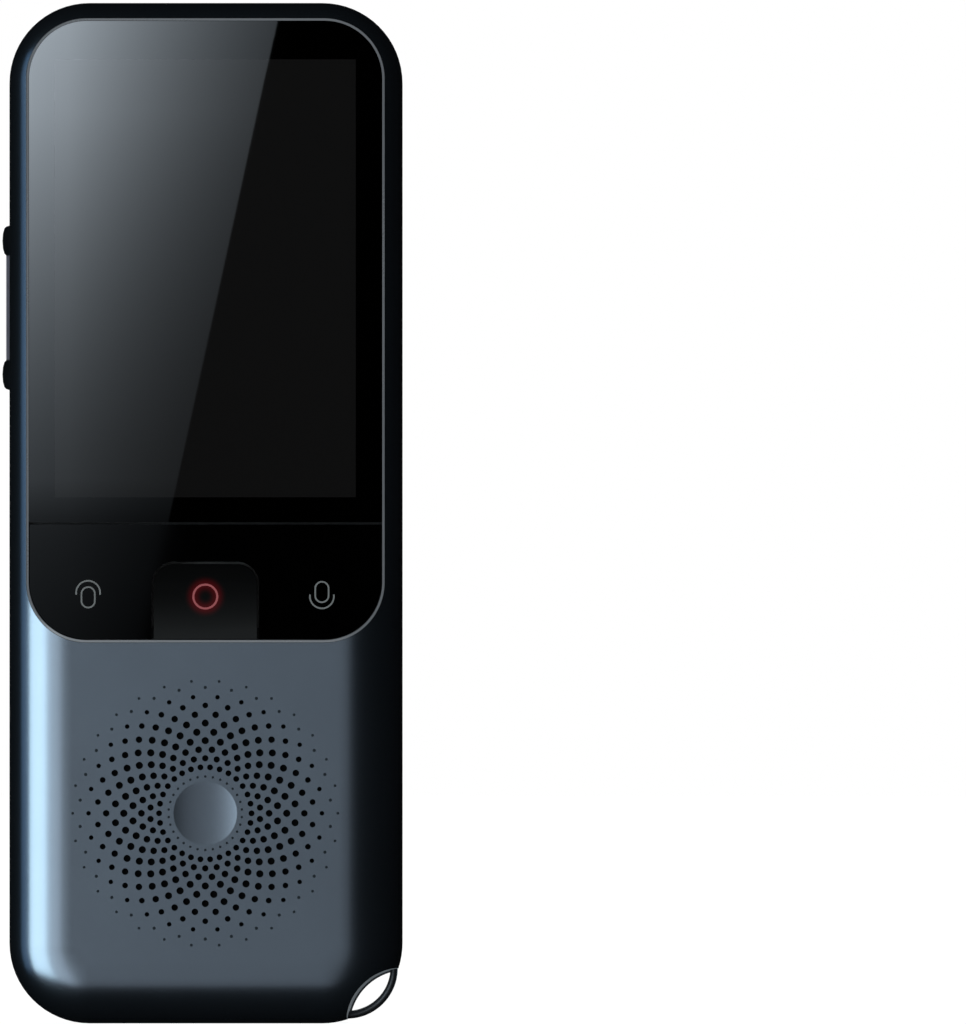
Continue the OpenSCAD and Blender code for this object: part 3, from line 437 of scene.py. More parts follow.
screen_glass = finish("screen_glass", "08090b", "0d0e11", 0.06, 0.03, grains=1500, bump=0.0)
print("finishes:", len(bpy.data.materials))

# %% [markdown]
# The lens is coated glass that mirrors dark blue, and the flash is a pale guide over a
# yellow phosphor. Real glass could be used for the window over both, but rays that bend
# in a thin flat sheet take time and change little. So it is a mostly see-through sheet
# with a strong mirror on its face.

# %% Camera finishes
lens_coating = finish("lens_coating", "0a0c1c", "141a30", 0.04, 0.03, grains=1500, bump=0.0,
                      Coat_Weight=0.5, Coat_Roughness=0.02)
lens_black = finish("lens_black", "1c2024", "262a30", 0.3, 0.1, grains=8000, bump=0.05)
pale_guide = finish("pale_guide", "e4e0c2", "efecd2", 0.35, 0.1, grains=4000, bump=0.1)
phosphor = finish("phosphor", "d8c24e", "ead774", 0.6, 0.1, grains=6000)
mask_ink = finish("mask_ink", "0c0e12", "14171c", 0.35, 0.1, grains=6000, Specular_IOR_Level=0.15)
clear_window = finish("clear_window", (0.01, 0.01, 0.01), (0.02, 0.02, 0.02), 0.02, 0.02,
                      grains=1500, bump=0.0, Alpha=0.15, IOR=1.5, Specular_IOR_Level=1.0)
print("window", clear_window.name)

# %% [markdown]
# ## Dressing the pieces inside
#
# Boards, cans, battery and speaker keep their measured shapes, because they are plain
# pressed or cut parts on the real device too. Each gets the finish of what it is.

# %% Give every measured piece its finish
FINISH_OF = {
    "front_shell": lacquer, "rear_shell": lacquer, "panel_rim": bright_trim,
    "front_lens": black_glass, "display_panel": screen_glass, "backlight": sheet_steel,
    "talk_rocker": black_key, "centre_key": grey_key, "key_board": black_mask_painted_light,
    "key_domes": sheet_steel, "mid_frame": pressed_alloy, "frame_screws": screw_steel,
    "main_board": solder_mask, "board_screws": screw_steel, "shield_cans": sheet_steel,
    "board_chips": moulded_chip, "top_microphone": bare_copper, "antenna_strip": bare_copper,
    "display_flex": amber_film, "display_connector": white_moulding,
    "battery_tape": soft_foam, "battery_cell": pouch_foil, "battery_pad": soft_foam,
    "battery_leads": red_insulation, "battery_plug": white_moulding,
    "camera_module": moulded_chip, "camera_lens_ring": bright_trim,
    "camera_lens": lens_coating, "camera_window": clear_window, "camera_rim": bright_trim,
    "flash_led": phosphor, "flash_lens": pale_guide, "speaker_mesh": dust_mesh,
    "speaker_gasket": soft_foam, "speaker_surround": soft_foam, "speaker_cone": pressed_cone,
    "speaker_basket": sheet_steel, "speaker_magnet": magnet_plate,
    "speaker_terminal": moulded_chip, "speaker_leads": red_insulation,
    "volume_key": volume_plastic_painted_highlight, "power_button": side_plastic, "side_board": solder_mask,
    "side_switches": sheet_steel, "usb_board": solder_mask, "usb_socket": sheet_steel,
    "usb_tongue": moulded_chip, "bottom_microphone": bare_copper, "board_link": amber_film,
    "strap_bar": dark_bar,
}


def dress(thing, material):
    thing.data.materials.clear()
    thing.data.materials.append(material)


for node_name, material in FINISH_OF.items():
    dress(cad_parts[node_name], material)
print("dressed", len(FINISH_OF), "of", len(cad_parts), "nodes")


# %% [markdown]
# ## The moulded halves
#
# The housing is injection moulded, so its shoulders run without a facet from the flat
# faces to the parting line. The measured halves are copied, their loose triangles
# joined, and shaded smoothly across all but the sharp edges. Normals weighted by
# area then keep the large faces flat.

# %% Editing helpers
def go_to(mode):
    bpy.ops.object.mode_set(mode=mode)


def deselect():
    if bpy.context.object and bpy.context.object.mode != "OBJECT":
        go_to("OBJECT")
    bpy.ops.object.select_all(action="DESELECT")


def take(thing):
    deselect()
    thing.select_set(True)
    bpy.context.view_layer.objects.active = thing


def select(thing, test, kind="FACE"):
    """In edit mode, selects the faces or corners whose middle passes the test, in mm."""
    bpy.ops.mesh.select_mode(type=kind)
    bpy.ops.mesh.select_all(action="DESELECT")
    go_to("OBJECT")
    for item in thing.data.polygons if kind == "FACE" else thing.data.vertices:
        spot = item.center if kind == "FACE" else item.co
        item.select = bool(test(*(thing.matrix_world @ spot / MM)))
    go_to("EDIT")


def select_all():
    bpy.ops.mesh.select_all(action="SELECT")


def extrude(along):
    bpy.ops.mesh.extrude_region_move(TRANSFORM_OT_translate={"value": along})


def disc(x, y, z, radius, sides):
    """A flat disc that faces the front, in mm, opened in edit mode."""
    deselect()
    bpy.ops.mesh.primitive_circle_add(
        vertices=sides, radius=radius * MM, fill_type="NGON",
        location=Vector((x, y, z)) * MM, rotation=(math.pi / 2, 0, 0))
    go_to("EDIT")
    return bpy.context.object


def settle(thing, name, material, body):
    """Ends a piece: normals out, place in the mesh, finish on, riding on its body."""
    take(thing)
    go_to("EDIT")
    select_all()
    bpy.ops.mesh.remove_doubles(threshold=0.0005 * MM)
    bpy.ops.mesh.normals_make_consistent(inside=False)
    go_to("OBJECT")
    bpy.ops.object.transform_apply(location=True, rotation=True, scale=True)
    thing.name = thing.data.name = name
    dress(thing, material)
    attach(thing, body)
    print(name, len(thing.data.polygons), "faces")
    return thing


def smooth(thing, angle=30):
    take(thing)
    bpy.ops.object.shade_smooth_by_angle(angle=math.radians(angle))
    weighting = thing.modifiers.new("even_normals", "WEIGHTED_NORMAL")
    weighting.keep_sharp = True
    weighting.weight = 100
    bpy.ops.object.modifier_apply(modifier=weighting.name)
    return thing


def moulded_copy(node_name, piece_name, body, material, angle=30):
    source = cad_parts[node_name]
    piece = bpy.data.objects.new(piece_name, source.data.copy())
    bpy.context.scene.collection.objects.link(piece)
    take(piece)
    bpy.ops.mesh.customdata_custom_splitnormals_clear()
    go_to("EDIT")
    select_all()
    bpy.ops.mesh.remove_doubles(threshold=0.001 * MM)
    go_to("OBJECT")
    smooth(piece, angle)
    dress(piece, material)
    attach(piece, body)
    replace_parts(piece, node_name)
    print(piece_name, len(piece.data.polygons), "faces")
    return piece


def face_y(thing, x, z):
    """Depth of a piece's front face at a point, in mm, found by a ray from the front."""
    hit, spot, _, _ = thing.ray_cast(Vector((x, -30, z)) * MM, Vector((0, 1, 0)))
    if not hit:
        raise ValueError(thing.name + " isn't at that point")
    return spot.y / MM


# %% Housing halves and the pieces that share their curve
front_half = moulded_copy("front_shell", "front_half", "housing", lacquer)
rear_half = moulded_copy("rear_shell", "rear_half", "housing", lacquer)
panel_trim = moulded_copy("panel_rim", "panel_trim", "housing", bright_trim)
cover_glass = moulded_copy("front_lens", "cover_glass", "housing", black_glass)
talk_plate = moulded_copy("talk_rocker", "talk_keys_plate", "talk_keys", black_key)
middle_cap = moulded_copy("centre_key", "middle_key_cap", "middle_key", grey_key)
volume_strip = moulded_copy("volume_key", "volume_strip", "volume_rocker", volume_plastic_painted_highlight)
power_cap = moulded_copy("power_button", "power_cap", "power_key", side_plastic)
moulded_copy("strap_bar", "strap_rod", "housing", dark_bar, 40)
moulded_copy("camera_rim", "window_trim", "housing", bright_trim)

# %% [markdown]
# The measured halves are faceted, so their corner normals are replaced by those of the
# curve that the facets follow. The section of the shoulder is a superellipse. The dimple
# of the grille is also made shallower here, as a soft dent, and the panel pieces are
# polished flat, so that what they mirror stays straight. Finer facets would hide the
# steps too, but they would cost many more faces.

# %% Exact normals
POWER = 2.3
# Width, height and start of the shoulder's curve, in front and behind
SHOULDERS = {-1: (8.4, 4.9, -2.1), 1: (9.0, 6.5, 0.5)}
GRILLE_Z = 27.9
DIMPLE = Vector((0, FRONT_Y, GRILLE_Z))
DIMPLE_R = 4.2
DIMPLE_DEPTH = 0.2
DIMPLE_KEPT = 0.4
DIMPLE_END = 0.6
ISLAND_Z, ISLAND_HALF = 121.0, 9.95
# Where the flank ends and starts, from the island's middle line
FLANK = (5.85, 6.8)
FLANK_Y = (6.9, 7.95)
FLANK_SLOPE = 0.38
NEAR_SKIN = 0.12
ALIGNED = 0.96


def pillow_normal(x, y, z):
    """The skin's outward normal at a point in mm, or None if the point isn't on it."""
    out = Vector((max(abs(x) - HALF_WIDTH + CORNER_R, 0), 0,
                  max(abs(z - HALF_HEIGHT) - HALF_HEIGHT + CORNER_R, 0)))
    side = -1 if y < PARTING_Y else 1
    width, height, base = SHOULDERS[side]
    u = min(max(1 - (CORNER_R - out.length) / width, 0), 1)
    rest = 1 - u ** POWER
    on_wall = u > 0.995 and SHOULDERS[-1][2] - 0.1 < y < SHOULDERS[1][2] + 0.1
    if abs(y - base - side * height * rest ** (1 / POWER)) > NEAR_SKIN and not on_wall:
        return None
    tilt = math.atan2(height / width * u ** (POWER - 1), rest ** (1 - 1 / POWER))
    out.x = math.copysign(out.x, x)
    out.z = math.copysign(out.z, z - HALF_HEIGHT)
    return out.normalized() * math.sin(tilt) + Vector((0, side * math.cos(tilt), 0))


def dimple_normal(x, y, z):
    ball = (DIMPLE_R ** 2 + DIMPLE_DEPTH ** 2) / (2 * DIMPLE_DEPTH)
    return (DIMPLE + Vector((-x, DIMPLE_DEPTH - ball - y, -z))).normalized()


def set_normals(thing, rule):
    """For each face the rule gives a function from a corner, in mm, to a normal, or None."""
    mesh = thing.data
    normals = [corner.vector.copy() for corner in mesh.corner_normals]
    changed = 0
    for face in mesh.polygons:
        exact = rule(face)
        for number in face.loop_indices if exact else ():
            found = exact(*(mesh.vertices[mesh.loops[number].vertex_index].co / MM))
            if found is not None:
                normals[number] = found
                changed += 1
    mesh.normals_split_custom_set(normals)
    print(thing.name, changed, "exact corners")


def on_skin(face):
    middle = pillow_normal(*(face.center / MM))
    if middle is not None and middle.dot(face.normal) > ALIGNED:
        return pillow_normal


def in_dimple(face):
    off = face.center / MM - DIMPLE
    if math.hypot(off.x, off.z) < DIMPLE_R and 0 < off.y < DIMPLE_END:
        return dimple_normal


def off_island(x, z):
    """The way from the island's middle line, of half length ISLAND_HALF, to a point."""
    return Vector((x - max(-ISLAND_HALF, min(x, ISLAND_HALF)), 0, z - ISLAND_Z))


def flank_normal(x, y, z):
    """The normal of the island's flank, which is a soft step."""
    out = off_island(x, z)
    along = min(max((FLANK[1] - out.length) / (FLANK[1] - FLANK[0]), 0), 1)
    tilt = math.atan(FLANK_SLOPE * math.sin(math.pi * along))
    return out.normalized() * math.sin(tilt) + Vector((0, math.cos(tilt), 0))


def on_flank(face):
    x, y, z = face.center / MM
    near = FLANK[0] - 0.02 < off_island(x, z).length < FLANK[1] + 0.1
    if near and FLANK_Y[0] < y < FLANK_Y[1] and face.normal.y > 0.3:
        return flank_normal


def facing(face):
    if face.normal.y < -0.6:
        return lambda x, y, z: Vector((0, -1, 0))


# %% Soften the dimple and set the normals
take(front_half)
go_to("EDIT")
select(front_half, lambda x, y, z: math.hypot(x, z - DIMPLE.z) < DIMPLE_R + 0.05
       and FRONT_Y - 0.01 < y < FRONT_Y + DIMPLE_END, "VERT")
bpy.ops.transform.resize(value=(1, DIMPLE_KEPT, 1), center_override=DIMPLE * MM)
go_to("OBJECT")
for half in (front_half, rear_half):
    set_normals(half, on_skin)
set_normals(front_half, in_dimple)
set_normals(rear_half, on_flank)
for piece in (cover_glass, talk_plate):
    set_normals(piece, facing)

# %% [markdown]
# ## Bare plastic
#
# Lacquer is sprayed on the outside only. The pocket behind the panel stays dark, and the
# wall of the strap cut is pale bare plastic. Its pale tone is partly a painted reflection,
# and its faint bluish glow is painted light, both standing in for the white surroundings.
# Linings could be made for them, but they would lie on the shell's own faces. So these
# faces are found by their place and get another finish.

# %% The pocket behind the panel is bare plastic
PANEL_HALF = 23.72
PANEL_Z = (50.38, 132.92)
PANEL_R = 8


def in_panel(x, y, z):
    """Whether a point lies inside the panel's rounded outline."""
    if abs(x) > PANEL_HALF or not PANEL_Z[0] < z < PANEL_Z[1]:
        return False
    aside = abs(x) - (PANEL_HALF - PANEL_R)
    beyond = abs(z - sum(PANEL_Z) / 2) - ((PANEL_Z[1] - PANEL_Z[0]) / 2 - PANEL_R)
    return aside < 0 or beyond < 0 or math.hypot(aside, beyond) < PANEL_R


front_half.data.materials.append(inner_plastic)
inner_faces = 0
for face in front_half.data.polygons:
    if in_panel(*(face.center / MM)):
        face.material_index = 1
        inner_faces += 1
print("unpainted faces", inner_faces)

# %% The wall of the strap cut is bare too, with painted light on it
CORNER_AT = Vector((HALF_WIDTH - CORNER_R, 0, CORNER_R))
CUT_OUT = 15.65
CUT_AT = CORNER_AT + CUT_OUT * Vector((1, 0, -1)).normalized()
CUT_R = 7.7
WALL_DEPTH = 0.6
wall_faces = 0
for half in (front_half, rear_half):
    half.data.materials.append(bare_wall_painted_light)
    for face in half.data.polygons:
        spot = face.center / MM - CUT_AT
        reach = math.hypot(spot.x, spot.z)
        inward = -(spot.x * face.normal.x + spot.z * face.normal.z) / reach
        if reach < CUT_R + WALL_DEPTH and inward > 0.8:
            face.material_index = len(half.data.materials) - 1
            wall_faces += 1
print("bare wall faces", wall_faces)

# %% [markdown]
# ## Printed microphones
#
# Each talk key carries a small microphone in outline, the left one upside down, for
# the person opposite. A line like this is a ring cut from a disc: its halves are pulled
# apart where the outline is longer than wide, an inset gives the line's width, the
# inner face is deleted, and the rest is given the print's thickness.

# %% Outline maker
LINE = 0.21
PRINT_T = 0.02


def outline_ring(x, z, y, radius, longer=0.0, line=LINE, keep=None, thick=PRINT_T, sides=40):
    ring = disc(x, y, z, radius, sides)
    if longer:
        for way in (-1, 1):
            select(ring, lambda px, py, pz: (pz - z) * way > 0.001, "VERT")
            bpy.ops.transform.translate(value=(0, 0, way * longer / 2 * MM))
    bpy.ops.mesh.select_mode(type="FACE")
    select_all()
    bpy.ops.mesh.inset(thickness=line * MM, depth=0)
    bpy.ops.mesh.delete(type="FACE")
    if keep:
        select(ring, lambda px, py, pz: not keep(px, pz))
        bpy.ops.mesh.delete(type="FACE")
    select_all()
    extrude((0, -thick * MM, 0))
    go_to("OBJECT")
    return ring


def join(things):
    deselect()
    for thing in things:
        thing.select_set(True)
    bpy.context.view_layer.objects.active = things[0]
    bpy.ops.object.join()
    return things[0]


# %% Left and right microphone
CAPSULE_R = 0.99
CAPSULE_LONGER = 0.93
CRADLE_R = 1.69
CRADLE_ENDS = -0.36
PRINT_LIFT = 0.004
for side, x, capsule_z, cradle_z, way in (("left", -15.46, 56.4, 57.0, 1),
                                          ("right", 15.39, 57.1, 56.53, -1)):
    y = face_y(talk_plate, x, capsule_z) + PRINT_LIFT
    capsule = outline_ring(x, capsule_z, y, CAPSULE_R, CAPSULE_LONGER)
    cradle = outline_ring(x, cradle_z, y, CRADLE_R,
                          keep=lambda px, pz: (pz - cradle_z) * way > CRADLE_ENDS)
    settle(join([capsule, cradle]), side + "_microphone_print", printed_grey, "talk_keys")

# %% [markdown]
# The light pipe reaches the face of the middle key as a thin red ring. As a part of the
# finish it would be soft close up, so it is made as the printed outlines are, only
# thicker, and it is sunk into the key.

# %% Ring of the middle key
RING_R = 1.71
RING_LINE = 0.27
RING_T, RING_SUNK = 0.13, 0.05
ring_z = RING_AT.z / MM
y = face_y(middle_cap, 0, ring_z) + RING_SUNK
ring = outline_ring(0, ring_z, y, RING_R, line=RING_LINE, thick=RING_T, sides=64)
settle(ring, "middle_key_ring", lit_red, "middle_key")

# %% [markdown]
# ## Finest holes of the grille
#
# Outside and inside the drilled rings the pattern fades out in dots too fine to be
# drilled through. Each is a shallow cup, a few faces only, because there are ninety,
# and its dark colour is painted shade, as in a hole. One is modelled for each ring, the
# rest are copies, and each is set on the skin.

# %% Faint dots
DOTS_PER_RING = 30
# Radius of the ring, radius of its dots, turn in degrees
DOT_RINGS = ((4.85, 0.17, 0), (16.6, 0.22, 0), (17.5, 0.19, 6))
DOT_SIDES = 10
DOT_SUNK, DOT_TALL, DOT_HOLLOW = 0.03, 0.037, 0.004
DOT_LIP = 0.25


def dot(radius):
    cup = disc(0, 0, 0, radius, DOT_SIDES)
    select_all()
    extrude((0, -DOT_TALL * MM, 0))
    bpy.ops.mesh.inset(thickness=radius * DOT_LIP * MM, depth=-DOT_HOLLOW * MM)
    go_to("OBJECT")
    return cup


def copy_at(thing, x, y, z):
    """A copy with a mesh of its own, at a place in mm."""
    copy = thing.copy()
    copy.data = thing.data.copy()
    bpy.context.scene.collection.objects.link(copy)
    copy.location = Vector((x, y, z)) * MM
    return copy


dots = []
for ring_r, dot_r, turn in DOT_RINGS:
    cup = dot(dot_r)
    for number in range(DOTS_PER_RING):
        angle = math.radians(turn + number * 360 / DOTS_PER_RING)
        x, z = ring_r * math.sin(angle), GRILLE_Z + ring_r * math.cos(angle)
        dots.append(copy_at(cup, x, face_y(front_half, x, z) + DOT_SUNK, z))
    bpy.data.objects.remove(cup, do_unlink=True)
settle(join(dots), "grille_fine_dots", pit_painted_shade, "housing")

# %% [markdown]
# ## Camera behind its window
#
# The clear window is printed black underneath, with an opening for the lens and one
# for the flash. The lens sits in a turned barrel, whose steps show as fine rings, and
# the flash has a moulded guide with ridges that spread the light. Turned pieces are
# spun from half of their section.

# %% Spinning a section
LENS_AT = (8.7, ISLAND_Z)
FLASH_AT = (2.3, ISLAND_Z)


def spun(points, x, z, steps=56, start=0, turn=360):
    """Spins a section of (radius, y) points round an axis along Y, by a turn in degrees."""
    deselect()
    bpy.ops.mesh.primitive_plane_add(size=MM, location=Vector((x, 0, z)) * MM)
    turned = bpy.context.object
    go_to("EDIT")
    bpy.ops.mesh.select_mode(type="VERT")
    select_all()
    bpy.ops.mesh.merge(type="CENTER")
    last = Vector((0, 0, 0))
    for number, (radius, y) in enumerate(points):
        spot = Vector((radius * math.cos(math.radians(start)), y,
                       radius * math.sin(math.radians(start)))) * MM
        if number == 0:
            bpy.ops.transform.translate(value=spot - last)
        else:
            extrude(spot - last)
        last = spot
    select_all()
    bpy.ops.mesh.spin(steps=steps, angle=math.radians(turn), center=Vector((x, 0, z)) * MM,
                      axis=(0, 1, 0))
    go_to("OBJECT")
    return turned


# %% Stepped barrel and lens
barrel = spun([(1.95, 6.46), (2.5, 6.46), (2.5, 6.76), (2.42, 6.79), (2.26, 6.79), (2.22, 6.74),
               (2.22, 6.62), (2.1, 6.62), (2.08, 6.58), (1.99, 6.58), (1.95, 6.54), (1.95, 6.46)],
              *LENS_AT)
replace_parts(smooth(settle(barrel, "lens_barrel", bright_trim, "housing"), 40), "camera_lens_ring")
baffle = spun([(0.72, 6.28), (1.93, 6.28), (1.93, 6.46), (1.72, 6.46), (1.7, 6.42), (1.5, 6.42),
               (1.48, 6.38), (1.26, 6.38), (1.24, 6.34), (1.0, 6.34), (0.98, 6.3), (0.72, 6.3),
               (0.72, 6.28)], *LENS_AT)
smooth(settle(baffle, "lens_baffle", lens_black, "housing"), 40)
dome = [(0, 5.0), (1.55, 5.0), (1.55, 5.85)]
dome += [(1.5 * math.cos(math.radians(a)), 5.88 + 0.3 * math.sin(math.radians(a)))
         for a in range(10, 90, 16)] + [(0, 6.18)]
front_element = smooth(settle(spun(dome, *LENS_AT), "lens_element", lens_coating, "housing"), 40)
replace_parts(front_element, "camera_lens")

# %% [markdown]
# The strap loop is one bent ring: its outer side is the bar, and its inner side lines
# the wall of the cut. The lining is a small section spun over the length of the wall.

# %% Lining of the strap cut
LINING = ((7.47, -1.0), (7.53, -1.15), (7.66, -1.15), (7.74, -1.0), (7.74, 0.7), (7.66, 0.85),
          (7.53, 0.85), (7.47, 0.7), (7.47, -1.0))
LINING_TURN = 72
lining = spun(LINING, CUT_AT.x, CUT_AT.z, steps=24, start=135 - LINING_TURN / 2,
              turn=LINING_TURN)
settle(lining, "strap_lining", dark_bar, "housing")

# %% [markdown]
# The print under the window is a stadium with two openings. Its outline could be drawn
# point by point. Here a disc is pulled apart and given a thickness, and the openings are
# cut out by solids, as a punch does it.

# %% Printed mask of the window
MASK_Y = 6.83
MASK_R = 5.1
MASK_SIDES = 72
MASK_T = 0.02
LENS_OPENING = 2.46
FLASH_OPENING = 1.87
FLASH_CORNER = 0.9


def cut(thing, cutter):
    take(thing)
    hole = thing.modifiers.new("hole", "BOOLEAN")
    hole.operation = "DIFFERENCE"
    hole.solver = "EXACT"
    hole.object = cutter
    bpy.ops.object.modifier_apply(modifier=hole.name)
    bpy.data.objects.remove(cutter, do_unlink=True)


def bevel_edges(thing, width, segments, test):
    """Rounds the edges of a block whose middle passes the test, in mm."""
    take(thing)
    go_to("EDIT")
    bpy.ops.mesh.select_mode(type="EDGE")
    bpy.ops.mesh.select_all(action="DESELECT")
    go_to("OBJECT")
    mesh = thing.data
    for edge in mesh.edges:
        ends = [thing.matrix_world @ mesh.vertices[i].co / MM for i in edge.vertices]
        edge.select = bool(test(ends[0], ends[1]))
    go_to("EDIT")
    bpy.ops.mesh.bevel(offset=width * MM, segments=segments, affect="EDGES")
    go_to("OBJECT")


def block(x0, x1, y0, y1, z0, z1):
    deselect()
    bpy.ops.mesh.primitive_cube_add(
        size=1, location=Vector((x0 + x1, y0 + y1, z0 + z1)) * MM / 2,
        scale=Vector((x1 - x0, y1 - y0, z1 - z0)) * MM)
    made = bpy.context.object
    bpy.ops.object.transform_apply(location=True, rotation=True, scale=True)
    return made


def flash_block(half, y0, y1):
    """A block round the flash, whose four edges along Y are rounded."""
    x, z = FLASH_AT
    made = block(x - half, x + half, y0, y1, z - half, z + half)
    bevel_edges(made, FLASH_CORNER, 6,
                lambda a, b: abs(a.x - b.x) < 0.01 and abs(a.z - b.z) < 0.01)
    return made


mask = disc(0, MASK_Y, ISLAND_Z, MASK_R, MASK_SIDES)
for way in (-1, 1):
    select(mask, lambda px, py, pz: px * way > 0.001, "VERT")
    bpy.ops.transform.translate(value=(way * ISLAND_HALF * MM, 0, 0))
bpy.ops.mesh.select_mode(type="FACE")
select_all()
extrude((0, MASK_T * MM, 0))
go_to("OBJECT")
cut(mask, spun([(0, 6), (LENS_OPENING, 6), (LENS_OPENING, 8), (0, 8)], *LENS_AT))
cut(mask, flash_block(FLASH_OPENING, 6, 8))
settle(mask, "window_mask", mask_ink, "housing")

# %% [markdown]
# The flash guide is a block of pale plastic with soft edges, and three low ridges run
# round its middle. Each ridge is spun from its section and joined to the block.

# %% Flash guide with ridges
GUIDE_HALF = 1.85
GUIDE_FACE = 6.74
RIDGES = (0.5, 0.85, 1.2)
guide = flash_block(GUIDE_HALF, 5.6, GUIDE_FACE)
take(guide)
soft = guide.modifiers.new("soft_edge", "BEVEL")
soft.width = 0.08 * MM
soft.segments = 2
bpy.ops.object.modifier_apply(modifier=soft.name)
ridges = [spun([(r - 0.09, 6.72), (r, 6.8), (r + 0.09, 6.72)], *FLASH_AT, steps=40)
          for r in RIDGES]
guide = settle(join([guide] + ridges), "flash_guide", pale_guide, "housing")
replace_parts(smooth(guide, 40), "flash_lens")

# %% [markdown]
# ## Contacts of the charging port
#
# The tongue in the port carries a row of gold contacts on both sides. They are thin
# plates with a rounded front end, so a plug rides up on them. One plate is modelled, and
# the others are its copies.

# %% Gold contacts
CONTACTS = 12
CONTACT_PITCH = 0.5
CONTACT_HALF = 0.13
CONTACT_T = 0.05
CONTACT_ROWS = (0.81, 1.54)
CONTACT_Z = (1.6, 4.6)
plate = block(-CONTACT_HALF, CONTACT_HALF, 0, CONTACT_T, *CONTACT_Z)
bevel_edges(plate, 0.02, 1, lambda a, b: max(a.z, b.z) < CONTACT_Z[0] + 0.1)
contacts = []
for number in range(CONTACTS):
    x = (number - (CONTACTS - 1) / 2) * CONTACT_PITCH
    contacts += [copy_at(plate, x, y, 0) for y in CONTACT_ROWS]
bpy.data.objects.remove(plate, do_unlink=True)
settle(join(contacts), "port_contacts", gold_plate, "housing")

# %% [markdown]
# ## Studio
#
# Tall soft lights stand on the left, where the left shoulder mirrors them into the
# camera, from a narrow bluish edge to a broad strip. Weaker ones in front fill the flat
# faces. The right is left dark, which draws the right shoulder. Such a set stands behind
# too, and each lights its own face. Two cards lay a sheen, one on the black glass and one
# on the camera window. Floor and background are white.

# %% Floor and background
def stage_plane(name, size, location, rotation):
    deselect()
    bpy.ops.mesh.primitive_plane_add(size=1, location=location, rotation=rotation)
    plane = bpy.context.object
    plane.name = name
    plane.scale = (size[0], size[1], 1)
    return plane


def seen_level(tree, seen, mirrored, otherwise):
    """Strength of a white ground: as seen directly or through glass, mirrored, else."""
    rays = add_node(tree, "ShaderNodeLightPath", (-900, 0))
    direct = maths(tree, "ADD", rays.outputs["Is Camera Ray"],
                   rays.outputs["Is Transmission Ray"], (-700, 100), clamp=True)
    dim = remap(tree, rays.outputs["Is Glossy Ray"], 0, 1, otherwise, mirrored, (-700, -100))
    left = maths(tree, "SUBTRACT", 1.0, direct, (-500, 0))
    rest = maths(tree, "MULTIPLY", left, dim, (-350, -100))
    full = maths(tree, "MULTIPLY", direct, seen, (-350, 100))
    return maths(tree, "ADD", rest, full, (-200, 0))


FLOOR_SEEN, FLOOR_MIRRORED = 0.97, 0.01
floor = stage_plane("floor", (3, 3), (0, 0, 0), (0, 0, 0))
floor_paint = bpy.data.materials.new("floor_paint")
floor_paint.use_nodes = True
tree = floor_paint.node_tree
body = tree.nodes["Principled BSDF"]
body.inputs["Base Color"].default_value = (0.12, 0.12, 0.12, 1)
body.inputs["Roughness"].default_value = 0.9
body.inputs["Specular IOR Level"].default_value = 0.0
body.inputs["Emission Color"].default_value = (1, 1, 1, 1)
tree.links.new(seen_level(tree, FLOOR_SEEN, FLOOR_MIRRORED, 0.0),
               body.inputs["Emission Strength"])
dress(floor, floor_paint)
floor.visible_glossy = False
floor.visible_shadow = False
print("floor", floor.name)

# %% [markdown]
# The world is white where the camera sees it, because the Light Path node tells how a
# ray came. A white world all round would turn the dark shoulders pale, so it is dim
# where the lacquer mirrors it, and it gives a little even light to what isn't a mirror.

# %% World: white to the camera, dim to the object
MIRRORED_WORLD = 0.004
FILL = 0.3
world = bpy.data.worlds.new("studio_world")
bpy.context.scene.world = world
world.use_nodes = True
tree = world.node_tree
back = tree.nodes["Background"]
back.inputs["Color"].default_value = (1, 1, 1, 1)
tree.links.new(seen_level(tree, 1.0, MIRRORED_WORLD, FILL), back.inputs["Strength"])
world.cycles.sampling_method = "NONE"
print("world", world.name)


# %% [markdown]
# Each lamp is placed by its bearing, so that it is easy to tell which strip of the
# shoulder mirrors it. Its power is worked out from its brightness and size, so a lamp
# that is made larger lights more without looking brighter.

# %% Lamps
MIDDLE = Vector((0, 0, HALF_HEIGHT * MM))
LAMP_REACH = 1.06


def soft_light(name, turn, rise, wide, tall, radiance, colour):
    """A soft light; its bearing is in degrees from the front, to the left and up."""
    a, e = math.radians(turn), math.radians(rise)
    way = Vector((-math.sin(a) * math.cos(e), -math.cos(a) * math.cos(e), math.sin(e)))
    data = bpy.data.lights.new(name, "AREA")
    data.shape = "RECTANGLE"
    data.size = 2 * LAMP_REACH * math.tan(math.radians(wide / 2))
    data.size_y = 2 * LAMP_REACH * math.tan(math.radians(tall / 2))
    data.energy = radiance * math.pi * data.size * data.size_y
    data.color = colour
    lamp = bpy.data.objects.new(name, data)
    bpy.context.scene.collection.objects.link(lamp)
    lamp.location = MIDDLE + way * LAMP_REACH
    lamp.rotation_euler = (-way).to_track_quat("-Z", "Y").to_euler()
    lamp.visible_camera = False
    print(name, round(data.energy, 1), "W")
    return lamp


BLUE, COOL, PALE, WHITE = (0.38, 0.62, 0.89), (0.88, 1.0, 1.0), (0.97, 1, 1), (1, 1, 1)
BACK_BLUE = (0.32, 0.64, 1)
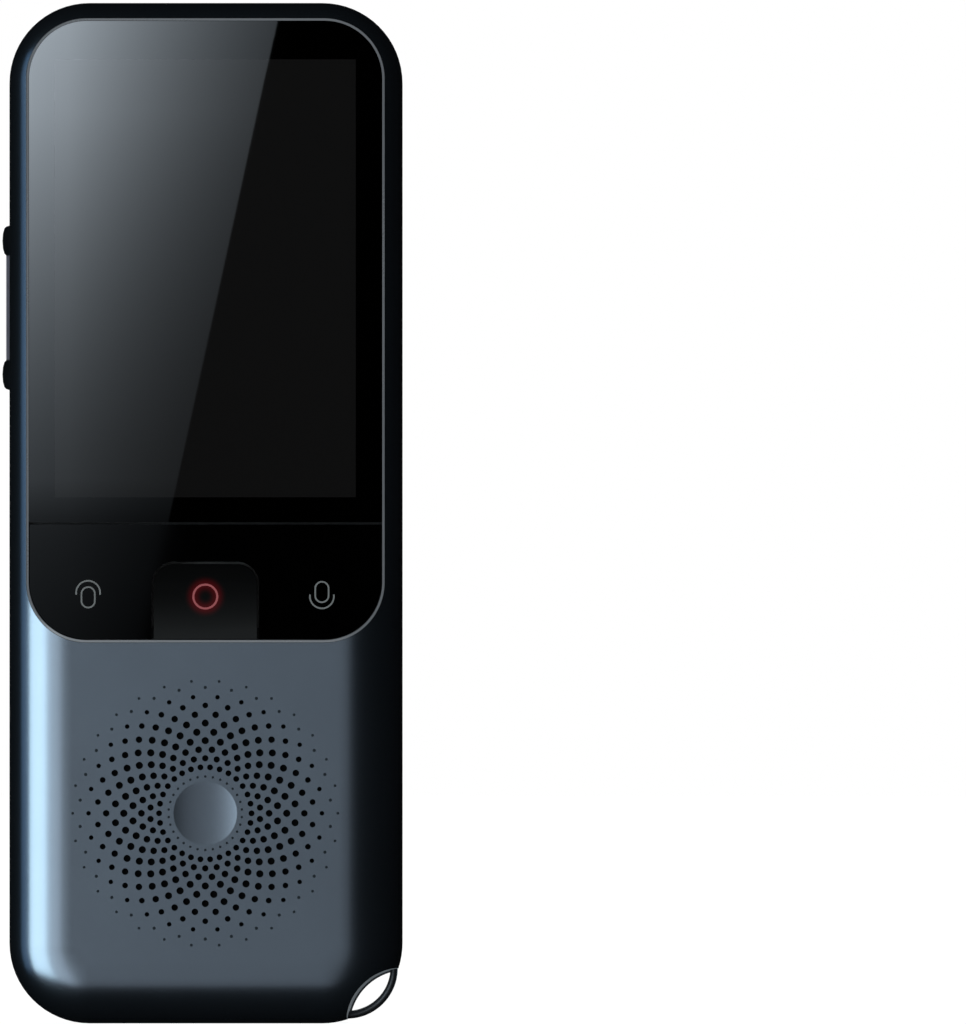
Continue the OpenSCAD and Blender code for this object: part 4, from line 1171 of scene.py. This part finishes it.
# Name, bearing, rise, width and height in degrees, radiance, colour
FRONT_LAMPS = (("left_edge", 64, 2, 20, 54, 0.5, BLUE),
               ("left_strip", 38, 2, 28, 54, 3.9, COOL),
               ("left_wing", 16.5, 0, 15, 52, 1.5, PALE),
               ("front_card", 1, 0, 16, 52, 0.31, WHITE))
BACK_LAMPS = (("back_edge", 180 + 64, 2, 20, 54, 0.5, BACK_BLUE),
              ("back_strip", 180 + 39, 15, 26, 50, 4.3, COOL),
              ("back_wing", 180 + 16.5, 0, 15, 52, 1.5, PALE),
              ("back_card", 180 + 1, 0, 16, 52, 0.41, WHITE),
              ("back_low_card", 180 + 46, -24, 26, 28, 0.32, WHITE))
front_lamps = [soft_light(*row) for row in FRONT_LAMPS]
back_lamps = [soft_light(*row) for row in BACK_LAMPS]
key_lamp = soft_light("key_gleam", 0, 16, 16, 12, 1.7, (0.86, 0.96, 1))

# %% [markdown]
# The sheen on the black glass could be painted on it, but it would then stay there from
# every side. A glowing card that the glass mirrors moves with the view, as a real
# reflection does. The camera window mirrors a card of its own.

# %% Cards that only the glass and the camera window mirror
CARD_REACH = 1.3
CARD_Y = FRONT_Y * MM - CARD_REACH
UPRIGHT = (math.pi / 2, 0, 0)
card = stage_plane("sheen_card", (0.2, 0.3), (-0.02, CARD_Y, 0.09), UPRIGHT)
window_card = stage_plane("window_card", (0.3, 0.2), (0.05, CARD_REACH, 0.22), UPRIGHT)
for sheet in (card, window_card):
    for kind in ("camera", "diffuse", "shadow", "transmission"):
        setattr(sheet, "visible_" + kind, False)
print("cards", card.name, window_card.name)

# %% [markdown]
# In a studio, black flags keep a lamp off one piece of the object. Light linking does
# that here: the bright strips miss the black pieces and the trim, each card is seen by
# its glass alone, and the lamps behind leave out the front.

# %% Which piece each lamp lights
def linked(name, pieces, state="INCLUDE"):
    """A collection of pieces that a lamp lights only, or leaves out."""
    group = bpy.data.collections.new(name)
    for piece in pieces:
        group.objects.link(piece)
    for item in group.collection_objects:
        item.light_linking.link_state = state
    return group


card.light_linking.receiver_collection = linked("mirror_pieces", (cover_glass, talk_plate))
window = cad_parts["camera_window"]
window_card.light_linking.receiver_collection = linked("window_only", (window,))
key_lamp.light_linking.receiver_collection = linked("key_only", (middle_cap,))
BLACK_PIECES = (cover_glass, talk_plate, middle_cap, volume_strip, power_cap)
not_from_strips = linked("not_from_strips", BLACK_PIECES + (panel_trim,), "EXCLUDE")
not_from_cards = linked("not_from_cards", BLACK_PIECES, "EXCLUDE")
for lamp, left_out in zip(front_lamps, (not_from_strips, not_from_strips,
                                        not_from_cards, not_from_cards)):
    lamp.light_linking.receiver_collection = left_out
not_from_back = linked("not_from_back", (front_half, panel_trim), "EXCLUDE")
for lamp in back_lamps:
    lamp.light_linking.receiver_collection = not_from_back
print("linked lamps", len(front_lamps) + len(back_lamps) + 1)

# %% Paint of the glass's card
# Where a point of the card shows on the flat glass follows from the camera's place. The
# sheen fades to the right and down, and ends at an edge that leans to the right.
def glowing(name, colour):
    """A material that glows, its tree, the X, Y and Z of its place, and its strength."""
    paint = bpy.data.materials.new(name)
    paint.use_nodes = True
    tree = paint.node_tree
    tree.nodes.clear()
    output = add_node(tree, "ShaderNodeOutputMaterial", (900, 0))
    glow = add_node(tree, "ShaderNodeEmission", (700, 0))
    glow.inputs["Color"].default_value = colour
    place = add_node(tree, "ShaderNodeNewGeometry", (-1500, 0)).outputs["Position"]
    tree.links.new(glow.outputs[0], output.inputs["Surface"])
    return paint, tree, axes_of(tree, place, (-1300, 0)), glow.inputs["Strength"]


card_paint, card_tree, axes, card_strength = glowing("sheen_card_paint", (1.0, 1.14, 1.27, 1))
SHARE = CARD_REACH / (camera_distance + (FRONT_Y * MM - PARTING_Y * MM))


def both(operation, first, second=None):
    """A Math node of the glass's card."""
    return maths(card_tree, operation, first, second)


def on_glass(place, camera_at):
    """The place on the glass, in mm, where the camera sees a place of the card mirrored."""
    return both("DIVIDE", both("ADD", place, SHARE * camera_at), (1 + SHARE) * MM)


def bent(value, low, high):
    """The value times `low` below zero and times `high` above it, without a step."""
    return both("ADD", both("MULTIPLY", both("MINIMUM", value, 0.0), low),
                both("MULTIPLY", both("MAXIMUM", value, 0.0), high))


glass_x = on_glass(axes["X"], camera.location.x)
glass_z = on_glass(axes["Z"], camera.location.z)
EDGE_LOW, EDGE_HIGH = (-6.0, 61.2), (9.5, 132.4)
EDGE_BLUR = 0.08
LEAN = (EDGE_HIGH[0] - EDGE_LOW[0]) / (EDGE_HIGH[1] - EDGE_LOW[1])
edge_x = both("ADD", both("MULTIPLY", both("SUBTRACT", glass_z, EDGE_LOW[1]), LEAN), EDGE_LOW[0])
lit = remap(card_tree, both("SUBTRACT", glass_x, edge_x), EDGE_BLUR, -EDGE_BLUR)

# Brightest spot of the sheen, how it fades to both sides, and its level at a probe
BRIGHT_X, BRIGHT_Z = -18.0, 120.5
FADES_X, FADES_Z = (-0.046, -0.092), (0.05, 0.03)
PROBE_X, PROBE_Z, PROBE_SHEEN = -11.4, 95.7, 0.05
BRIGHTEST = PROBE_SHEEN * math.exp(FADES_X[1] * (BRIGHT_X - PROBE_X)
                                   + FADES_Z[0] * (BRIGHT_Z - PROBE_Z))
fade_x = bent(both("SUBTRACT", glass_x, BRIGHT_X), *FADES_X)
fade_z = bent(both("SUBTRACT", glass_z, BRIGHT_Z), *FADES_Z)
sheen = both("MULTIPLY", both("EXPONENT", both("ADD", fade_x, fade_z)), BRIGHTEST)

TOP_SHEEN = 0.9
GLASS_MIRRORS = 0.0232
LOW_Z, LOW_SHARE = (66.5, 72.0), 0.5
softened = both("DIVIDE", sheen, both("ADD", both("DIVIDE", sheen, TOP_SHEEN), 1.0))
dimmer_low = remap(card_tree, glass_z, *LOW_Z, LOW_SHARE, 1.0)
strength = both("MULTIPLY", both("DIVIDE", softened, GLASS_MIRRORS),
                both("MULTIPLY", lit, dimmer_low))
card_tree.links.new(strength, card_strength)
dress(card, card_paint)
print("sheen", round(BRIGHTEST, 3))

# %% Paint of the window's card
# Its sheen fades to the right of the window.
WINDOW_FADE = (-0.03, 0.045)
FADE_POWER = 2.4
WINDOW_GLOW = 42
window_paint, tree, axes, window_strength = glowing("window_card_paint", (0.76, 0.95, 1.16, 1))
near = maths(tree, "POWER", remap(tree, axes["X"], *WINDOW_FADE), FADE_POWER)
tree.links.new(maths(tree, "MULTIPLY", near, WINDOW_GLOW), window_strength)
dress(window_card, window_paint)
print("window sheen", WINDOW_GLOW)

# %% Update the view layer
bpy.context.view_layer.update()
